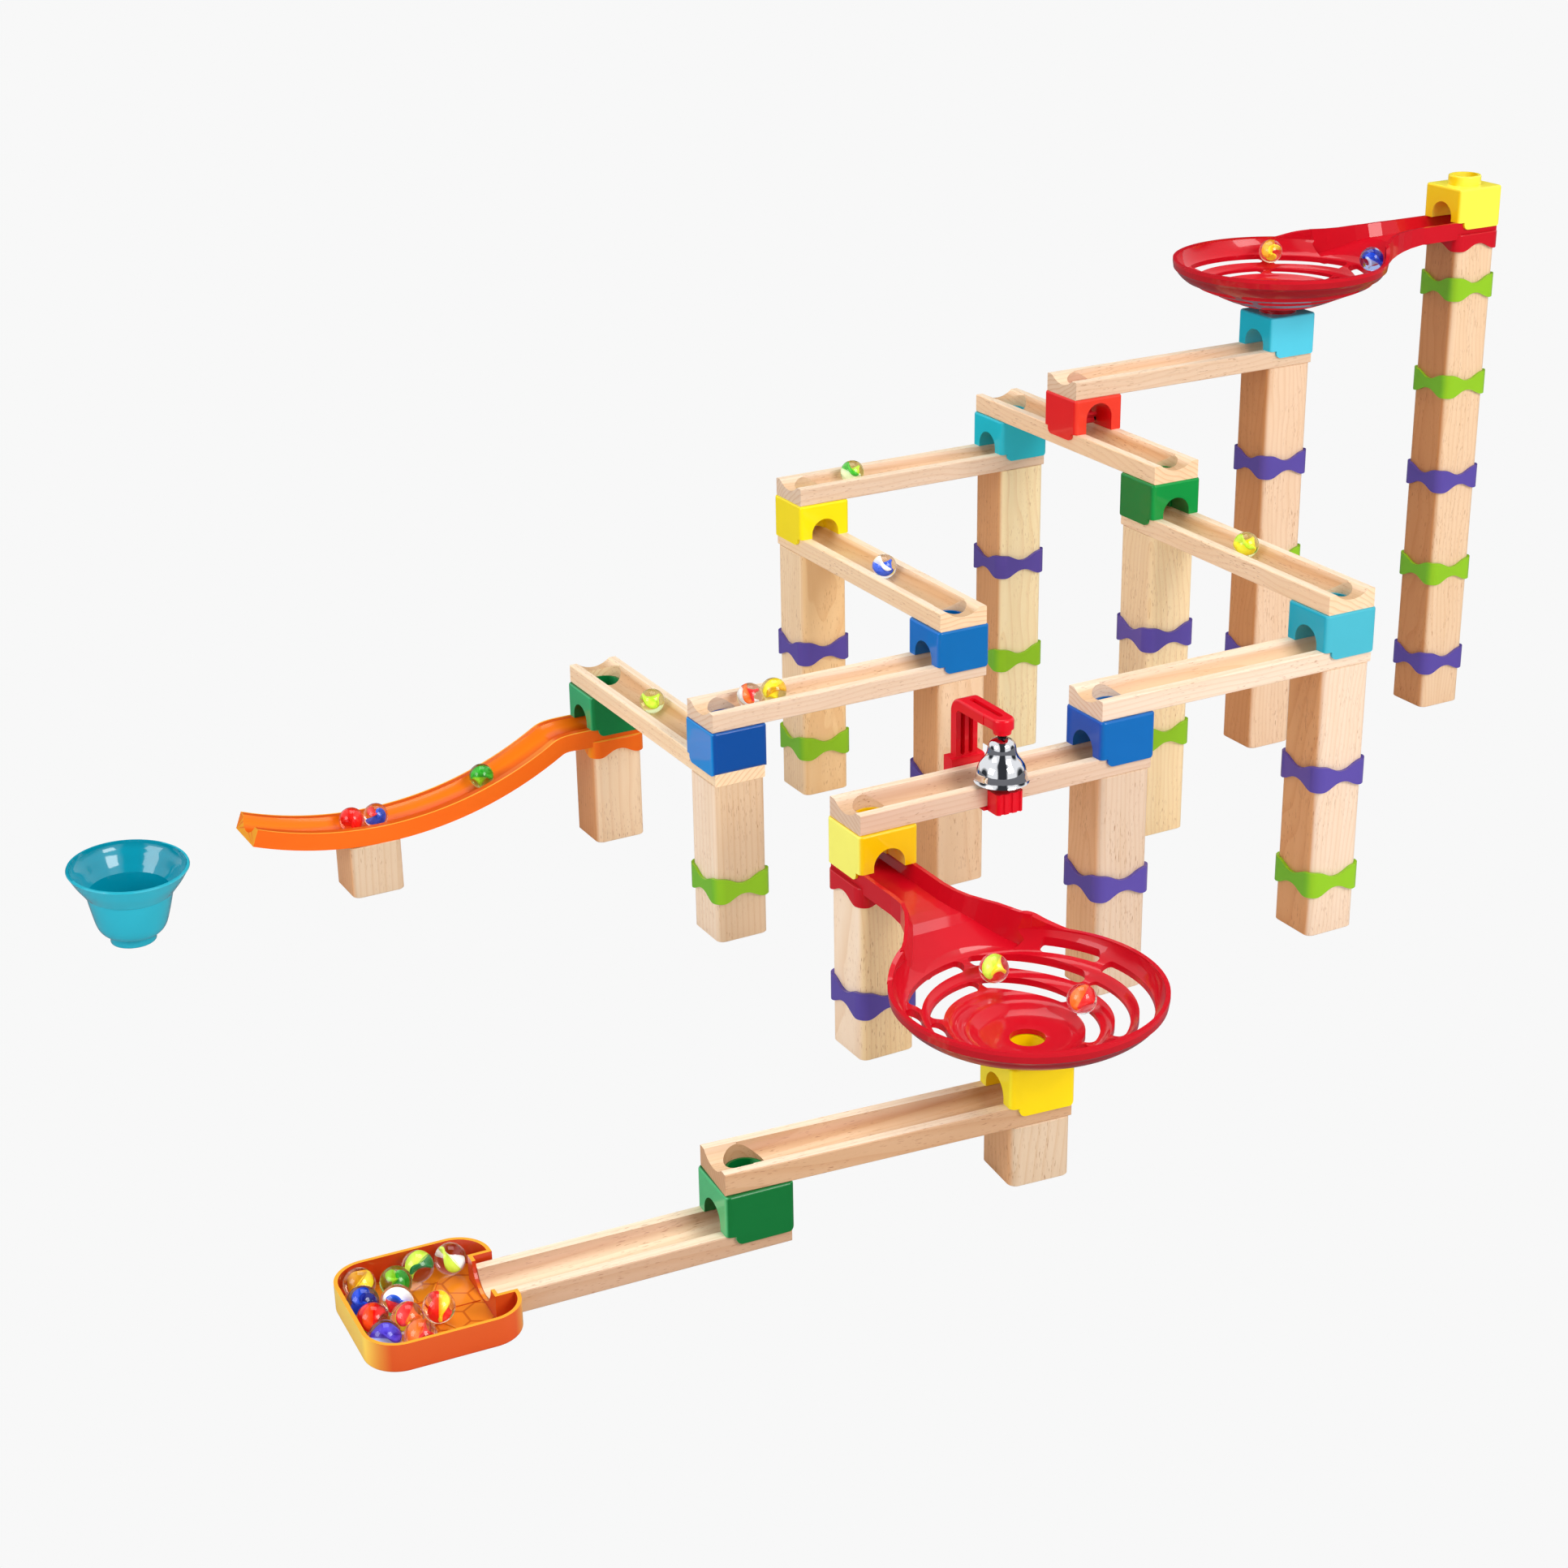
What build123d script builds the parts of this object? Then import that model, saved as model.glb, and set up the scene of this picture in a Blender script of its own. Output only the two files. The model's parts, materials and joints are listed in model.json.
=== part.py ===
from build123d import *
from math import acos, asin, atan2, cos, degrees, hypot, pi, radians, sin, sqrt
import os

# Marble run: beech towers, grooved beech rails, plastic corner cubes, two slotted
# spiral funnels, a slide, a catch cup, a catch tray, a bell and loose glass marbles.
# Millimetres, +Z up, floor at z = 0, x along the long side of the layout.

os.makedirs("parts", exist_ok=True)

# ---------------------------------------------------------------- module sizes
LEVEL = 35.0            # height of a short block, the step between two rails
BLOCK = 35.0            # side of every beech block
BLOCK_EDGE = 5.0        # rounding of a block's upright edges
BLOCK_EASE = 0.4        # chamfer on a block's end faces
RAIL_T = 12.0           # thickness of rails and of the moulded channels
RAIL_W = 34.0           # width of rails and channels
RAIL_EASE = 0.5
PITCH_X = 159.0         # hole to cube of the rails that run along x, and of the funnels
PITCH_Y = 177.0         # hole to cube of the rails that run along y
MARBLE_R = 8.0
ROLL_GAP = 0.3          # a marble hovers this much over the groove under it

GROOVE_R = 12.0         # radius of the rail's groove
GROOVE_HIGH = 6.0       # groove depth at the cube end
GROOVE_LOW = 8.4        # groove depth at the hole
HOLE_R = 11.0           # drop hole of a rail
NOTCH_R = 18.0          # shallow groove between the hole and the rail's end
NOTCH_D = 4.5

CUBE = 37.5             # outside of a corner cube
CUBE_EDGE = 3.0
CUBE_TOP_EDGE = 1.5
CUBE_H = LEVEL - RAIL_T
SKIRT = 5.0             # how far a cube reaches down over its rail
SKIRT_STEP = 5.0        # the skirt stops this far before the exit face
SKIRT_FIT = 0.1         # clearance between the skirt and the rail
ARCH_R = 10.0           # exit arch
ARCH_TOP = 12.5         # its crown above the rail
SWITCH_ARCH_TOP = 19.5  # crown of the taller arch in the switch cube
BORE_R = 9.0            # drop bore of a cube
RING_R = 10.6           # ring that plugs into the hole of the rail above
RING_H = 3.2
START_RING_R = 11.3     # taller ring of the starter cube
START_RING_H = 6.5

COLLAR_WALL = 2.0
COLLAR_FIT = 0.1
COLLAR_CREST = 8.25     # half height of the wave at the corners
COLLAR_TROUGH = 3.5     # half height at the middle of a face

# ---------------------------------------------------------------- layout
RAIL_10_TURN = -5.5     # the last two rails are turned a little on their cubes
OUTLET_TURN = -3.5
OUTLET_X = -302.5       # centre of the lowest cube in the object's own frame
OUTLET_Y = -220.8
RAIL_11_REACH = 139.5   # outlet cube to the open end of the last rail

Q = (OUTLET_X, OUTLET_Y)
P = (Q[0] + PITCH_X * cos(radians(RAIL_10_TURN)), Q[1] + PITCH_X * sin(radians(RAIL_10_TURN)))
N = (P[0], P[1] + PITCH_X)
M = (N[0] + PITCH_X, N[1])
F = (M[0] + PITCH_X, M[1])
E = (F[0], F[1] + PITCH_Y)
C = (E[0], E[1] + PITCH_Y / 2)
D = (E[0], E[1] + PITCH_Y)
B = (C[0] + PITCH_X, C[1])
A = (B[0] + PITCH_X, B[1])
G = (D[0] - PITCH_X, D[1])
H = (G[0], G[1] - PITCH_Y)
I = (H[0] - PITCH_X, H[1])
J = (I[0], I[1] + PITCH_Y)

# ---------------------------------------------------------------- funnel
FUNNEL_R = 72.5         # outside of the rim
HOOD_STEP = 0.4         # the raised wall stands proud of the rim
HOOD_WALL = 2.1
FUNNEL_WALL = 2.2
FUNNEL_DEPTH = 28.5     # rim to the floor beside the hole
FUNNEL_HOLE_R = 9.5
SPIGOT_R = 12.6
SPIGOT_FIT = 0.4
# slots of the spiral track: from angle, to angle, radius at each end, width
SLOTS = ((-41.0, -66.0, 66.0, 65.4, 5.5), (-76.0, -148.0, 62.0, 60.6, 8.0),
         (-160.0, -226.0, 60.6, 60.0, 8.0), (-238.0, -294.0, 60.0, 59.6, 8.0),
         (54.0, 6.0, 58.6, 59.4, 7.4), (-5.0, -64.0, 60.0, 52.6, 7.0), (-76.0, -140.0, 50.0, 48.2, 8.0),
         (-153.0, -220.0, 48.0, 47.6, 7.6), (-233.0, -290.0, 47.6, 47.2, 7.6),
         (56.0, 6.0, 47.0, 46.4, 7.2), (-5.0, -63.0, 46.0, 38.0, 6.6), (-88.0, -142.0, 34.6, 33.0, 7.6),
         (-158.0, -230.0, 33.0, 33.0, 7.0))
# edge of the funnel's mouth, where it stands over the rim: along the arm, height over the rim
NEAR_EDGE = ((45.0, 0.6), (51.0, 2.6), (56.5, 6.0), (61.4, 9.4))
FAR_EDGE = ((40.0, 0.6), (46.0, 2.4), (52.0, 4.8), (60.0, 7.2))

# ---------------------------------------------------------------- slide
SLIDE_ARC_R = 245.0     # underside of the curved run
SLIDE_ARC_X = -165.0    # its lowest point, seen from tower J
SLIDE_TIP_X = -254.0
SLIDE_FLAT = -28.0      # where the level start ends
SLIDE_WALL_H = 11.5
SLIDE_GROOVE_R = 12.5
SLIDE_GROOVE_D = 7.3
SLIDE_BASE = 0.15       # flat on the underside where it rests on its block
SLIDE_BLOCK_X = -173.0

# ---------------------------------------------------------------- tray and cup
TRAY = 79.0
TRAY_R = 18.0
TRAY_WALL = 2.0
TRAY_H = 15.5
TRAY_FLOOR = 1.8
TRAY_GATE = 37.0        # recess for the end of the last rail
TRAY_GATE_DEPTH = 10.0
TRAY_OFFSET = 29.5      # from the last rail's open end to the tray's centre
RIB_H = 0.6
RIB_W = 1.2

CUP_X = 173.2           # cup foot in the object's own frame, from the lowest cube
CUP_Y = 496.3
CUP_R = 37.8
CUP_H = 51.3
CUP_LEAN = 3.2          # the bowl of the cup leans a little on its foot
CUP_FOOT_R = 14.3
CUP_WALL = 2.0

# ---------------------------------------------------------------- bell
BELL_AT = 73.4          # along rail 9 from tower N
BELL_SIDE = -17.8       # bell axis from the rail's centre line
BELL_R = 15.7
BELL_H = 25.4
BELL_RIM = 14.6         # rim above the rail's underside
BELL_WALL = 1.0
PIVOT_Z = 44.2          # hanging pin above the rail's underside
ARM_TOP = 52.5
ARM_T = 6.5
BRACKET_FIT = 0.1
COLUMN_HALF = 7.2       # half width of the bracket's column
ARM_HALF = 6.6
BRACKET_FRONT = 10.0    # top of the bracket's front block

# ---------------------------------------------------------------- switch
FLAP_Z = 3.6            # flap pin above the rail
FLAP_HUB_R = 2.6
FLAP_PIN_R = 1.2
FLAP_PIN_FIT = 0.05
FLAP_H = 12.0
FLAP_W = 15.0
FLAP_LEAN = 20.0


def save(shape, name):
    shape.label = name
    export_step(shape, f"parts/{name}.step")


def at(point, z, turn=0.0):
    return Location((point[0], point[1], z), (0, 0, turn))


# ================================================================ beech blocks
def block(levels):
    with BuildPart() as body:
        with BuildSketch(Plane.XY):
            RectangleRounded(BLOCK, BLOCK, BLOCK_EDGE)
        extrude(amount=levels * LEVEL)
        ends = body.faces().sort_by(Axis.Z)
        chamfer(ends[0].edges() + ends[-1].edges(), BLOCK_EASE)
    return body.part


def pillar(name, point, blocks, turn=0.0):
    solids = []
    level = 0
    for levels in blocks:
        solids.append(at(point, level * LEVEL, turn) * block(levels))
        level += levels
    save(Compound(children=solids), name)


pillar("blocks_a", A, (1, 2, 2, 2, 2, 1))
pillar("blocks_b", B, (2, 2, 2, 2))
pillar("blocks_d", D, (2, 2, 2))
pillar("blocks_e", E, (2, 2, 2))
pillar("blocks_f", F, (1, 2, 2))
pillar("blocks_g", G, (1, 2, 2))
pillar("blocks_h", H, (2, 2))
pillar("blocks_i", I, (1, 2))
pillar("blocks_m", M, (2, 2))
pillar("blocks_n", N, (1, 2))
pillar("block_j", J, (2,))
save(Compound(children=[at(P, 0, RAIL_10_TURN) * block(1),
                        at((J[0] + SLIDE_BLOCK_X, J[1]), 0) * block(1)]), "low_blocks")


# ================================================================ wavy collars
COLLAR = BLOCK + 2 * (COLLAR_WALL + COLLAR_FIT)


def wave_tool(plane, side):
    # everything above (side 1) or below (side -1) the wavy edge, seen on one pair of faces
    crest_x = BLOCK / 2 - 2.5
    crest = side * COLLAR_CREST
    trough = side * COLLAR_TROUGH
    over = side * (COLLAR_CREST + 0.01)
    beyond = side * 20.0
    far = COLLAR
    with BuildPart() as tool:
        with BuildSketch(plane.offset(-COLLAR)):
            with BuildLine():
                Line((-far, over), (-crest_x, crest))
                Spline((-crest_x, crest), (0, trough), tangents=((1, 0), (1, 0)))
                Spline((0, trough), (crest_x, crest), tangents=((1, 0), (1, 0)))
                Line((crest_x, crest), (far, over))
                Line((far, over), (far, beyond))
                Line((far, beyond), (-far, beyond))
                Line((-far, beyond), (-far, over))
            make_face()
        extrude(amount=2 * COLLAR)
    return tool.part


def collar_band(low, high):
    with BuildPart() as band:
        with BuildSketch(Plane.XY.offset(low)):
            RectangleRounded(COLLAR, COLLAR, BLOCK_EDGE + COLLAR_WALL)
            inner = BLOCK + 2 * COLLAR_FIT
            RectangleRounded(inner, inner, BLOCK_EDGE, mode=Mode.SUBTRACT)
        extrude(amount=high - low)
    return band.part


def collar():
    with BuildPart() as body:
        add(collar_band(-COLLAR_CREST, COLLAR_CREST))
        for plane in (Plane.XZ, Plane.YZ):
            add(wave_tool(plane, 1), mode=Mode.SUBTRACT)
            add(wave_tool(plane, -1), mode=Mode.SUBTRACT)
    return body.part


COLLAR_SOLID = collar()


def collars(name, places):
    save(Compound(children=[at(point, level * LEVEL) * COLLAR_SOLID for point, level in places]), name)


collars("purple_collars", ((A, 1), (A, 5), (B, 2), (B, 6), (D, 4), (E, 4), (F, 3), (G, 3),
                           (H, 2), (M, 2), (N, 1)))
collars("green_collars", ((A, 3), (A, 7), (A, 9), (B, 4), (D, 2), (E, 2), (F, 1), (G, 1), (I, 1)))


# ================================================================ grooved rails
def rail_blank(x_from, x_to):
    with BuildPart() as blank:
        with BuildSketch(Plane.XY):
            with Locations(((x_from + x_to) / 2, 0)):
                Rectangle(x_to - x_from, RAIL_W)
        extrude(amount=RAIL_T)
        chamfer(blank.edges().filter_by(Axis.X), RAIL_EASE)
    return blank.part


def groove_tool(x_from, x_to, deep_from, deep_to, radius=GROOVE_R):
    # a round bar along the floor line of the groove
    low = Vector(x_from, 0, RAIL_T - deep_from + radius)
    high = Vector(x_to, 0, RAIL_T - deep_to + radius)
    line = high - low
    with BuildPart() as bar:
        with BuildSketch(Plane(origin=low, z_dir=line)):
            Circle(radius)
        extrude(amount=line.length)
    return bar.part


def rail(pitch, both_ends=False, open_end=None):
    end = pitch + BLOCK / 2 if open_end is None else open_end
    start = -BLOCK / 2
    with BuildPart() as body:
        add(rail_blank(start, end))
        if both_ends:
            mid = pitch / 2
            add(groove_tool(mid, pitch, GROOVE_HIGH, GROOVE_LOW), mode=Mode.SUBTRACT)
            add(groove_tool(mid, 0, GROOVE_HIGH, GROOVE_LOW), mode=Mode.SUBTRACT)
            add(groove_tool(0, start - 1, NOTCH_D, NOTCH_D, NOTCH_R), mode=Mode.SUBTRACT)
            with Locations((0, 0, RAIL_T / 2)):
                Cylinder(HOLE_R, 2 * RAIL_T, mode=Mode.SUBTRACT)
        elif open_end is None:
            add(groove_tool(-BORE_R, pitch, GROOVE_HIGH, GROOVE_LOW), mode=Mode.SUBTRACT)
        else:
            add(groove_tool(-BORE_R, end + 1, GROOVE_HIGH, GROOVE_LOW), mode=Mode.SUBTRACT)
        if open_end is None:
            add(groove_tool(pitch, end + 1, NOTCH_D, NOTCH_D, NOTCH_R), mode=Mode.SUBTRACT)
            with Locations((pitch, 0, RAIL_T / 2)):
                Cylinder(HOLE_R, 2 * RAIL_T, mode=Mode.SUBTRACT)
    return body.part


RAIL_ACROSS = rail(PITCH_X)
RAIL_DEEP = rail(PITCH_Y)
save(at(B, 8 * LEVEL, 180) * RAIL_ACROSS, "rail_1")
save(at(E, 7 * LEVEL, 90) * rail(PITCH_Y, both_ends=True), "rail_2")
save(at(E, 6 * LEVEL, -90) * RAIL_DEEP, "rail_3")
save(at(D, 6 * LEVEL, 180) * RAIL_ACROSS, "rail_4")
save(at(G, 5 * LEVEL, -90) * RAIL_DEEP, "rail_5")
save(at(H, 4 * LEVEL, 180) * RAIL_ACROSS, "rail_6")
save(at(I, 3 * LEVEL, 90) * RAIL_DEEP, "rail_7")
save(at(F, 5 * LEVEL, 180) * RAIL_ACROSS, "rail_8")
save(at(M, 4 * LEVEL, 180) * RAIL_ACROSS, "rail_9")
save(at(P, LEVEL, 180 + RAIL_10_TURN) * RAIL_ACROSS, "rail_10")
save(at(Q, 0, 180 + OUTLET_TURN) * rail(0, open_end=RAIL_11_REACH), "rail_11")


# ================================================================ corner cubes
def cube_block(double):
    # a box seen from the side: its skirt hangs over the rail and steps back at the exit
    half = CUBE / 2
    step = half - SKIRT_STEP
    with BuildPart() as block_part:
        with BuildSketch(Plane.XZ.offset(-half)) as side:
            with BuildLine():
                if double:
                    Polyline((-half, CUBE_H), (half, CUBE_H), (half, 0), (step, 0), (step, -SKIRT),
                             (-step, -SKIRT), (-step, 0), (-half, 0), close=True)
                else:
                    Polyline((-half, CUBE_H), (half, CUBE_H), (half, 0), (step, 0), (step, -SKIRT),
                             (-half, -SKIRT), close=True)
            make_face()
            fillet(side.vertices().group_by(Axis.Y)[0], 3.8)
        extrude(amount=CUBE)
    return block_part.part


def arch_tool(crown, x_from, x_to):
    straight = crown - ARCH_R
    with BuildPart() as tool:
        with BuildSketch(Plane.YZ.offset(x_from)):
            with Locations((0, (straight - SKIRT) / 2)):
                Rectangle(2 * ARCH_R, straight + SKIRT)
            with Locations((0, straight)):
                Circle(ARCH_R)
        extrude(amount=x_to - x_from)
    return tool.part


def cube(double=False, starter=False):
    half = CUBE / 2
    slot = RAIL_W / 2 + SKIRT_FIT
    back = -half if double else -BLOCK / 2 - SKIRT_FIT
    crown = SWITCH_ARCH_TOP if double else ARCH_TOP
    with BuildPart() as body:
        add(cube_block(double))
        with BuildSketch(Plane.XY.offset(-SKIRT - 1)):
            RectangleRounded(CUBE, CUBE, CUBE_EDGE)
        extrude(amount=CUBE_H + SKIRT + 2, mode=Mode.INTERSECT)
        fillet(body.faces().sort_by(Axis.Z)[-1].edges(), CUBE_TOP_EDGE)
        with BuildSketch(Plane.XY.offset(-SKIRT - 1)):
            with Locations(((back + half + 1) / 2, 0)):
                Rectangle(half + 1 - back, 2 * slot)
        extrude(amount=SKIRT + 1, mode=Mode.SUBTRACT)
        ring_r = START_RING_R if starter else RING_R
        ring_h = START_RING_H if starter else RING_H
        with BuildSketch(Plane.XY.offset(CUBE_H - 0.5)):
            Circle(ring_r)
        extrude(amount=ring_h + 0.5)
        fillet(body.faces().sort_by(Axis.Z)[-1].edges(), 1.0 if starter else 0.5)
        with BuildSketch(Plane.XY.offset(-1)):
            Circle(BORE_R)
        extrude(amount=CUBE_H + ring_h + 2, mode=Mode.SUBTRACT)
        add(arch_tool(crown, -half - 1 if double else 0, half + 1), mode=Mode.SUBTRACT)
    return body.part


CUBE_SOLID = cube()
SWITCH_CUBE = cube(double=True)
with BuildPart() as switch_cube_body:
    add(SWITCH_CUBE)
    # bore for the flap's pin, through both cheeks of the cube
    with Locations(Location((0, 0, FLAP_Z), (90, 0, 0))):
        Cylinder(FLAP_PIN_R + FLAP_PIN_FIT, CUBE - 3, mode=Mode.SUBTRACT)
SWITCH_CUBE = switch_cube_body.part

save(at(A, 10 * LEVEL + RAIL_T, 180) * cube(starter=True), "cube_a")
save(at(B, 8 * LEVEL + RAIL_T, 180) * CUBE_SOLID, "cube_b")
save(at(C, 7 * LEVEL + RAIL_T, 90) * SWITCH_CUBE, "cube_c")
save(at(D, 6 * LEVEL + RAIL_T, 180) * CUBE_SOLID, "cube_d")
save(at(E, 6 * LEVEL + RAIL_T, -90) * CUBE_SOLID, "cube_e")
save(at(F, 5 * LEVEL + RAIL_T, 180) * CUBE_SOLID, "cube_f")
save(at(G, 5 * LEVEL + RAIL_T, -90) * CUBE_SOLID, "cube_g")
save(at(H, 4 * LEVEL + RAIL_T, 180) * CUBE_SOLID, "cube_h")
save(at(I, 3 * LEVEL + RAIL_T, 90) * CUBE_SOLID, "cube_i")
save(at(J, 2 * LEVEL + RAIL_T, 180) * CUBE_SOLID, "cube_j")
save(at(M, 4 * LEVEL + RAIL_T, 180) * CUBE_SOLID, "cube_m")
save(at(N, 3 * LEVEL + RAIL_T, -90) * CUBE_SOLID, "cube_n")
save(at(P, LEVEL + RAIL_T, 180 + RAIL_10_TURN) * CUBE_SOLID, "cube_p")
save(at(Q, RAIL_T, 180 + OUTLET_TURN) * CUBE_SOLID, "cube_q")


# ================================================================ switch flap
with BuildPart() as flap_body:
    with BuildSketch(Plane.XZ.offset(-FLAP_W / 2)):
        Circle(FLAP_HUB_R)
        with BuildLine():
            Polyline((-1.6, 0), (-0.9, FLAP_H), (0.9, FLAP_H), (1.6, 0), close=True)
        make_face()
        # two short feet that the marbles tread on
        with BuildLine():
            Polyline((-7.0, 2.6), (-7.0, 4.2), (0, 2.4), (7.0, 4.2), (7.0, 2.6), (0, 0), close=True)
        make_face()
    extrude(amount=FLAP_W)
    with Locations(Location((0, 0, 0), (90, 0, 0))):
        Cylinder(FLAP_PIN_R + FLAP_PIN_FIT, FLAP_W + 2, mode=Mode.SUBTRACT)
switch_at = at(C, 7 * LEVEL + RAIL_T + FLAP_Z, 90)
save(switch_at * (Rotation(0, FLAP_LEAN, 0) * flap_body.part), "switch_flap")

with BuildPart() as flap_pin_body:
    with Locations(Location((0, 0, 0), (90, 0, 0))):
        Cylinder(FLAP_PIN_R, CUBE - 4)
save(switch_at * flap_pin_body.part, "switch_pin")


# ================================================================ plate over a tower top
def tower_plate():
    # a plate that sits on the tower with a wavy skirt round its top
    with BuildPart() as plate:
        add(collar_band(-COLLAR_CREST, 0))
        for plane in (Plane.XZ, Plane.YZ):
            add(wave_tool(plane, -1), mode=Mode.SUBTRACT)
        with BuildSketch(Plane.XY):
            RectangleRounded(COLLAR, COLLAR, BLOCK_EDGE + COLLAR_WALL)
        extrude(amount=3.6)
        fillet(plate.faces().sort_by(Axis.Z)[-1].edges(), 0.8)
    return plate.part


TOWER_PLATE = tower_plate()


# ================================================================ spiral funnel
BOWL_LINE = ((FUNNEL_HOLE_R, -FUNNEL_DEPTH), (18.0, -28.0), (25.0, -27.0), (28.4, -25.2), (31.0, -23.6),
             (37.0, -22.8), (40.6, -21.4), (43.0, -19.2), (46.0, -17.6), (52.0, -16.8), (54.6, -15.0),
             (56.6, -12.4), (59.0, -11.0), (63.4, -10.0), (66.4, -7.4), (FUNNEL_R - 2.4, 0.0))


def bowl_radius_floor(radius):
    # height of the bowl's inner surface at a radius, straight between the profile points
    for (r0, z0), (r1, z1) in zip(BOWL_LINE, BOWL_LINE[1:]):
        if r0 <= radius <= r1:
            return z0 + (z1 - z0) * (radius - r0) / (r1 - r0)
    return 0.0


def bowl_cavity(lift):
    # everything above the bowl's inner surface, up to a height
    with BuildPart() as cavity:
        with BuildSketch(Plane.XZ):
            with BuildLine():
                Spline(*BOWL_LINE)
                Polyline(BOWL_LINE[-1], (BOWL_LINE[-1][0], lift), (0, lift), (0, -FUNNEL_DEPTH),
                         BOWL_LINE[0])
            make_face()
        revolve(axis=Axis.Z)
    return cavity.part


def bowl():
    wall = FUNNEL_WALL
    outer = ((SPIGOT_R, -FUNNEL_DEPTH - wall), (22.0, -28.0 - wall), (33.0, -24.8 - wall),
             (44.0, -20.0 - wall), (55.0, -15.2 - wall), (64.5, -10.4 - wall), (FUNNEL_R - 2.2, -6.6))
    with BuildPart() as body:
        with BuildSketch(Plane.XZ):
            with BuildLine():
                Spline(*outer)
                Polyline(outer[-1], (FUNNEL_R - 0.6, -5.0), (FUNNEL_R, -1.2), (FUNNEL_R, 1.0),
                         (0, 1.0), (0, -LEVEL), (SPIGOT_R, -LEVEL), outer[0])
            make_face()
        revolve(axis=Axis.Z)
        add(bowl_cavity(4.0), mode=Mode.SUBTRACT)
        with BuildSketch(Plane.XY.offset(-LEVEL - 1)):
            Circle(FUNNEL_HOLE_R)
        extrude(amount=LEVEL, mode=Mode.SUBTRACT)
        with BuildSketch(Plane.XY.offset(-LEVEL - 1)):
            Circle(RING_R + SPIGOT_FIT)
        extrude(amount=1 + RING_H + 0.4, mode=Mode.SUBTRACT)
    return body.part


# the channel leaves the tower, widens, and dips into the bowl
# along the arm, near side, far side, floor, near and far wall tops, underside at the walls and between
FLARE = ((PITCH_X + BLOCK / 2, 17.0, 17.0, 4.0, RAIL_T, RAIL_T, 0.4, 0.0),
         (110.0, 17.0, 17.0, 3.6, RAIL_T, RAIL_T, 0.4, 0.0),
         (99.0, 18.2, 17.6, 3.2, RAIL_T, RAIL_T, -0.6, -0.9),
         (90.0, 20.6, 20.6, 2.4, RAIL_T, 11.2, -1.6, -2.6),
         (82.0, 24.2, 25.0, 0.2, RAIL_T, 10.2, -2.4, -4.4),
         (74.0, 28.6, 30.2, -3.2, 11.9, 8.8, -3.4, -6.8),
         (66.0, 34.0, 35.6, -6.6, 10.4, 7.9, -5.2, -10.2),
         (58.0, 40.2, 42.2, -9.6, 8.6, 7.2, -7.4, -14.2))
FLARE_WALL = 2.4
FLARE_EASE = 3.0        # the floor starts this far inside the wall


def flare():
    # outside of the channel, still solid between its walls
    with BuildPart() as body:
        for x, near, far, floor, near_top, far_top, side_base, base in FLARE:
            with BuildSketch(Plane.YZ.offset(x)):
                with BuildLine():
                    Polyline((-near, side_base), (-near, near_top), (far, far_top), (far, side_base),
                             (far * 0.72, base), (-near * 0.72, base), close=True)
                make_face()
        loft(ruled=True)
    return body.part


def flare_space():
    # the room between the walls of the channel
    top = RAIL_T + 4
    with BuildPart() as room:
        for x, near, far, floor, near_top, far_top, side_base, base in FLARE:
            near_lean = FLARE_EASE * (top - floor) / (near_top - floor)
            far_lean = FLARE_EASE * (top - floor) / (far_top - floor)
            near_foot = -near + FLARE_WALL + FLARE_EASE
            far_foot = far - FLARE_WALL - FLARE_EASE
            with BuildSketch(Plane.YZ.offset(x)):
                with BuildLine():
                    Polyline((near_foot - near_lean, top), (near_foot, floor), (far_foot, floor),
                             (far_foot + far_lean, top), close=True)
                make_face()
        loft(ruled=True)
    return room.part


def mouth_wall(edge, side):
    # the rim rises along this edge to the top of the channel's wall
    last_x, last_z = edge[-1]
    end = FUNNEL_R + 1
    with BuildPart() as wall:
        with BuildSketch(Plane.XY.offset(0.4)):
            Circle(FUNNEL_R + HOOD_STEP)
            Circle(FUNNEL_R - HOOD_WALL, mode=Mode.SUBTRACT)
        extrude(amount=RAIL_T)
        with BuildSketch(Plane.XZ.offset(-end if side > 0 else 0)):
            with BuildLine():
                Spline(*edge, tangents=((1, 0.1), (1, 0.3)))
                Polyline(edge[-1], (last_x + 3, last_z), (last_x + 3, -4.0), (edge[0][0], -4.0), edge[0])
            make_face()
        extrude(amount=end, mode=Mode.INTERSECT)
    return wall.part


def slot_tool(start, stop, radius_start, radius_stop, width):
    # an arched slot with round ends whose radius changes on the way
    def spot(t, offset):
        angle = radians(start + (stop - start) * t)
        radius = radius_start + (radius_stop - radius_start) * t + offset
        return (radius * cos(angle), radius * sin(angle))

    half = width / 2
    lead = -half / (radius_start * radians(abs(stop - start)))
    with BuildPart() as tool:
        with BuildSketch(Plane.XY.offset(-LEVEL)):
            with BuildLine():
                ThreePointArc(spot(0, half), spot(0.5, half), spot(1, half))
                ThreePointArc(spot(1, half), spot(1 - lead, 0), spot(1, -half))
                ThreePointArc(spot(1, -half), spot(0.5, -half), spot(0, -half))
                ThreePointArc(spot(0, -half), spot(lead, 0), spot(0, half))
            make_face()
        extrude(amount=LEVEL + 2)
    return tool.part


def funnel():
    with BuildPart() as channel:
        add(flare())
        add(bowl_cavity(16.0), mode=Mode.SUBTRACT)
    with BuildPart() as body:
        add(bowl())
        add(channel.part)
        add(mouth_wall(NEAR_EDGE, -1))
        add(mouth_wall(FAR_EDGE, 1))
        add(flare_space(), mode=Mode.SUBTRACT)
        for slot in SLOTS:
            add(slot_tool(*slot), mode=Mode.SUBTRACT)
        with Locations((PITCH_X, 0, 0)):
            add(TOWER_PLATE)
    return body.part.solids()[0]


FUNNEL_SOLID = funnel()
save(at(B, 10 * LEVEL) * FUNNEL_SOLID, "funnel_1")
save(at(P, 3 * LEVEL, 90) * FUNNEL_SOLID, "funnel_2")


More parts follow.
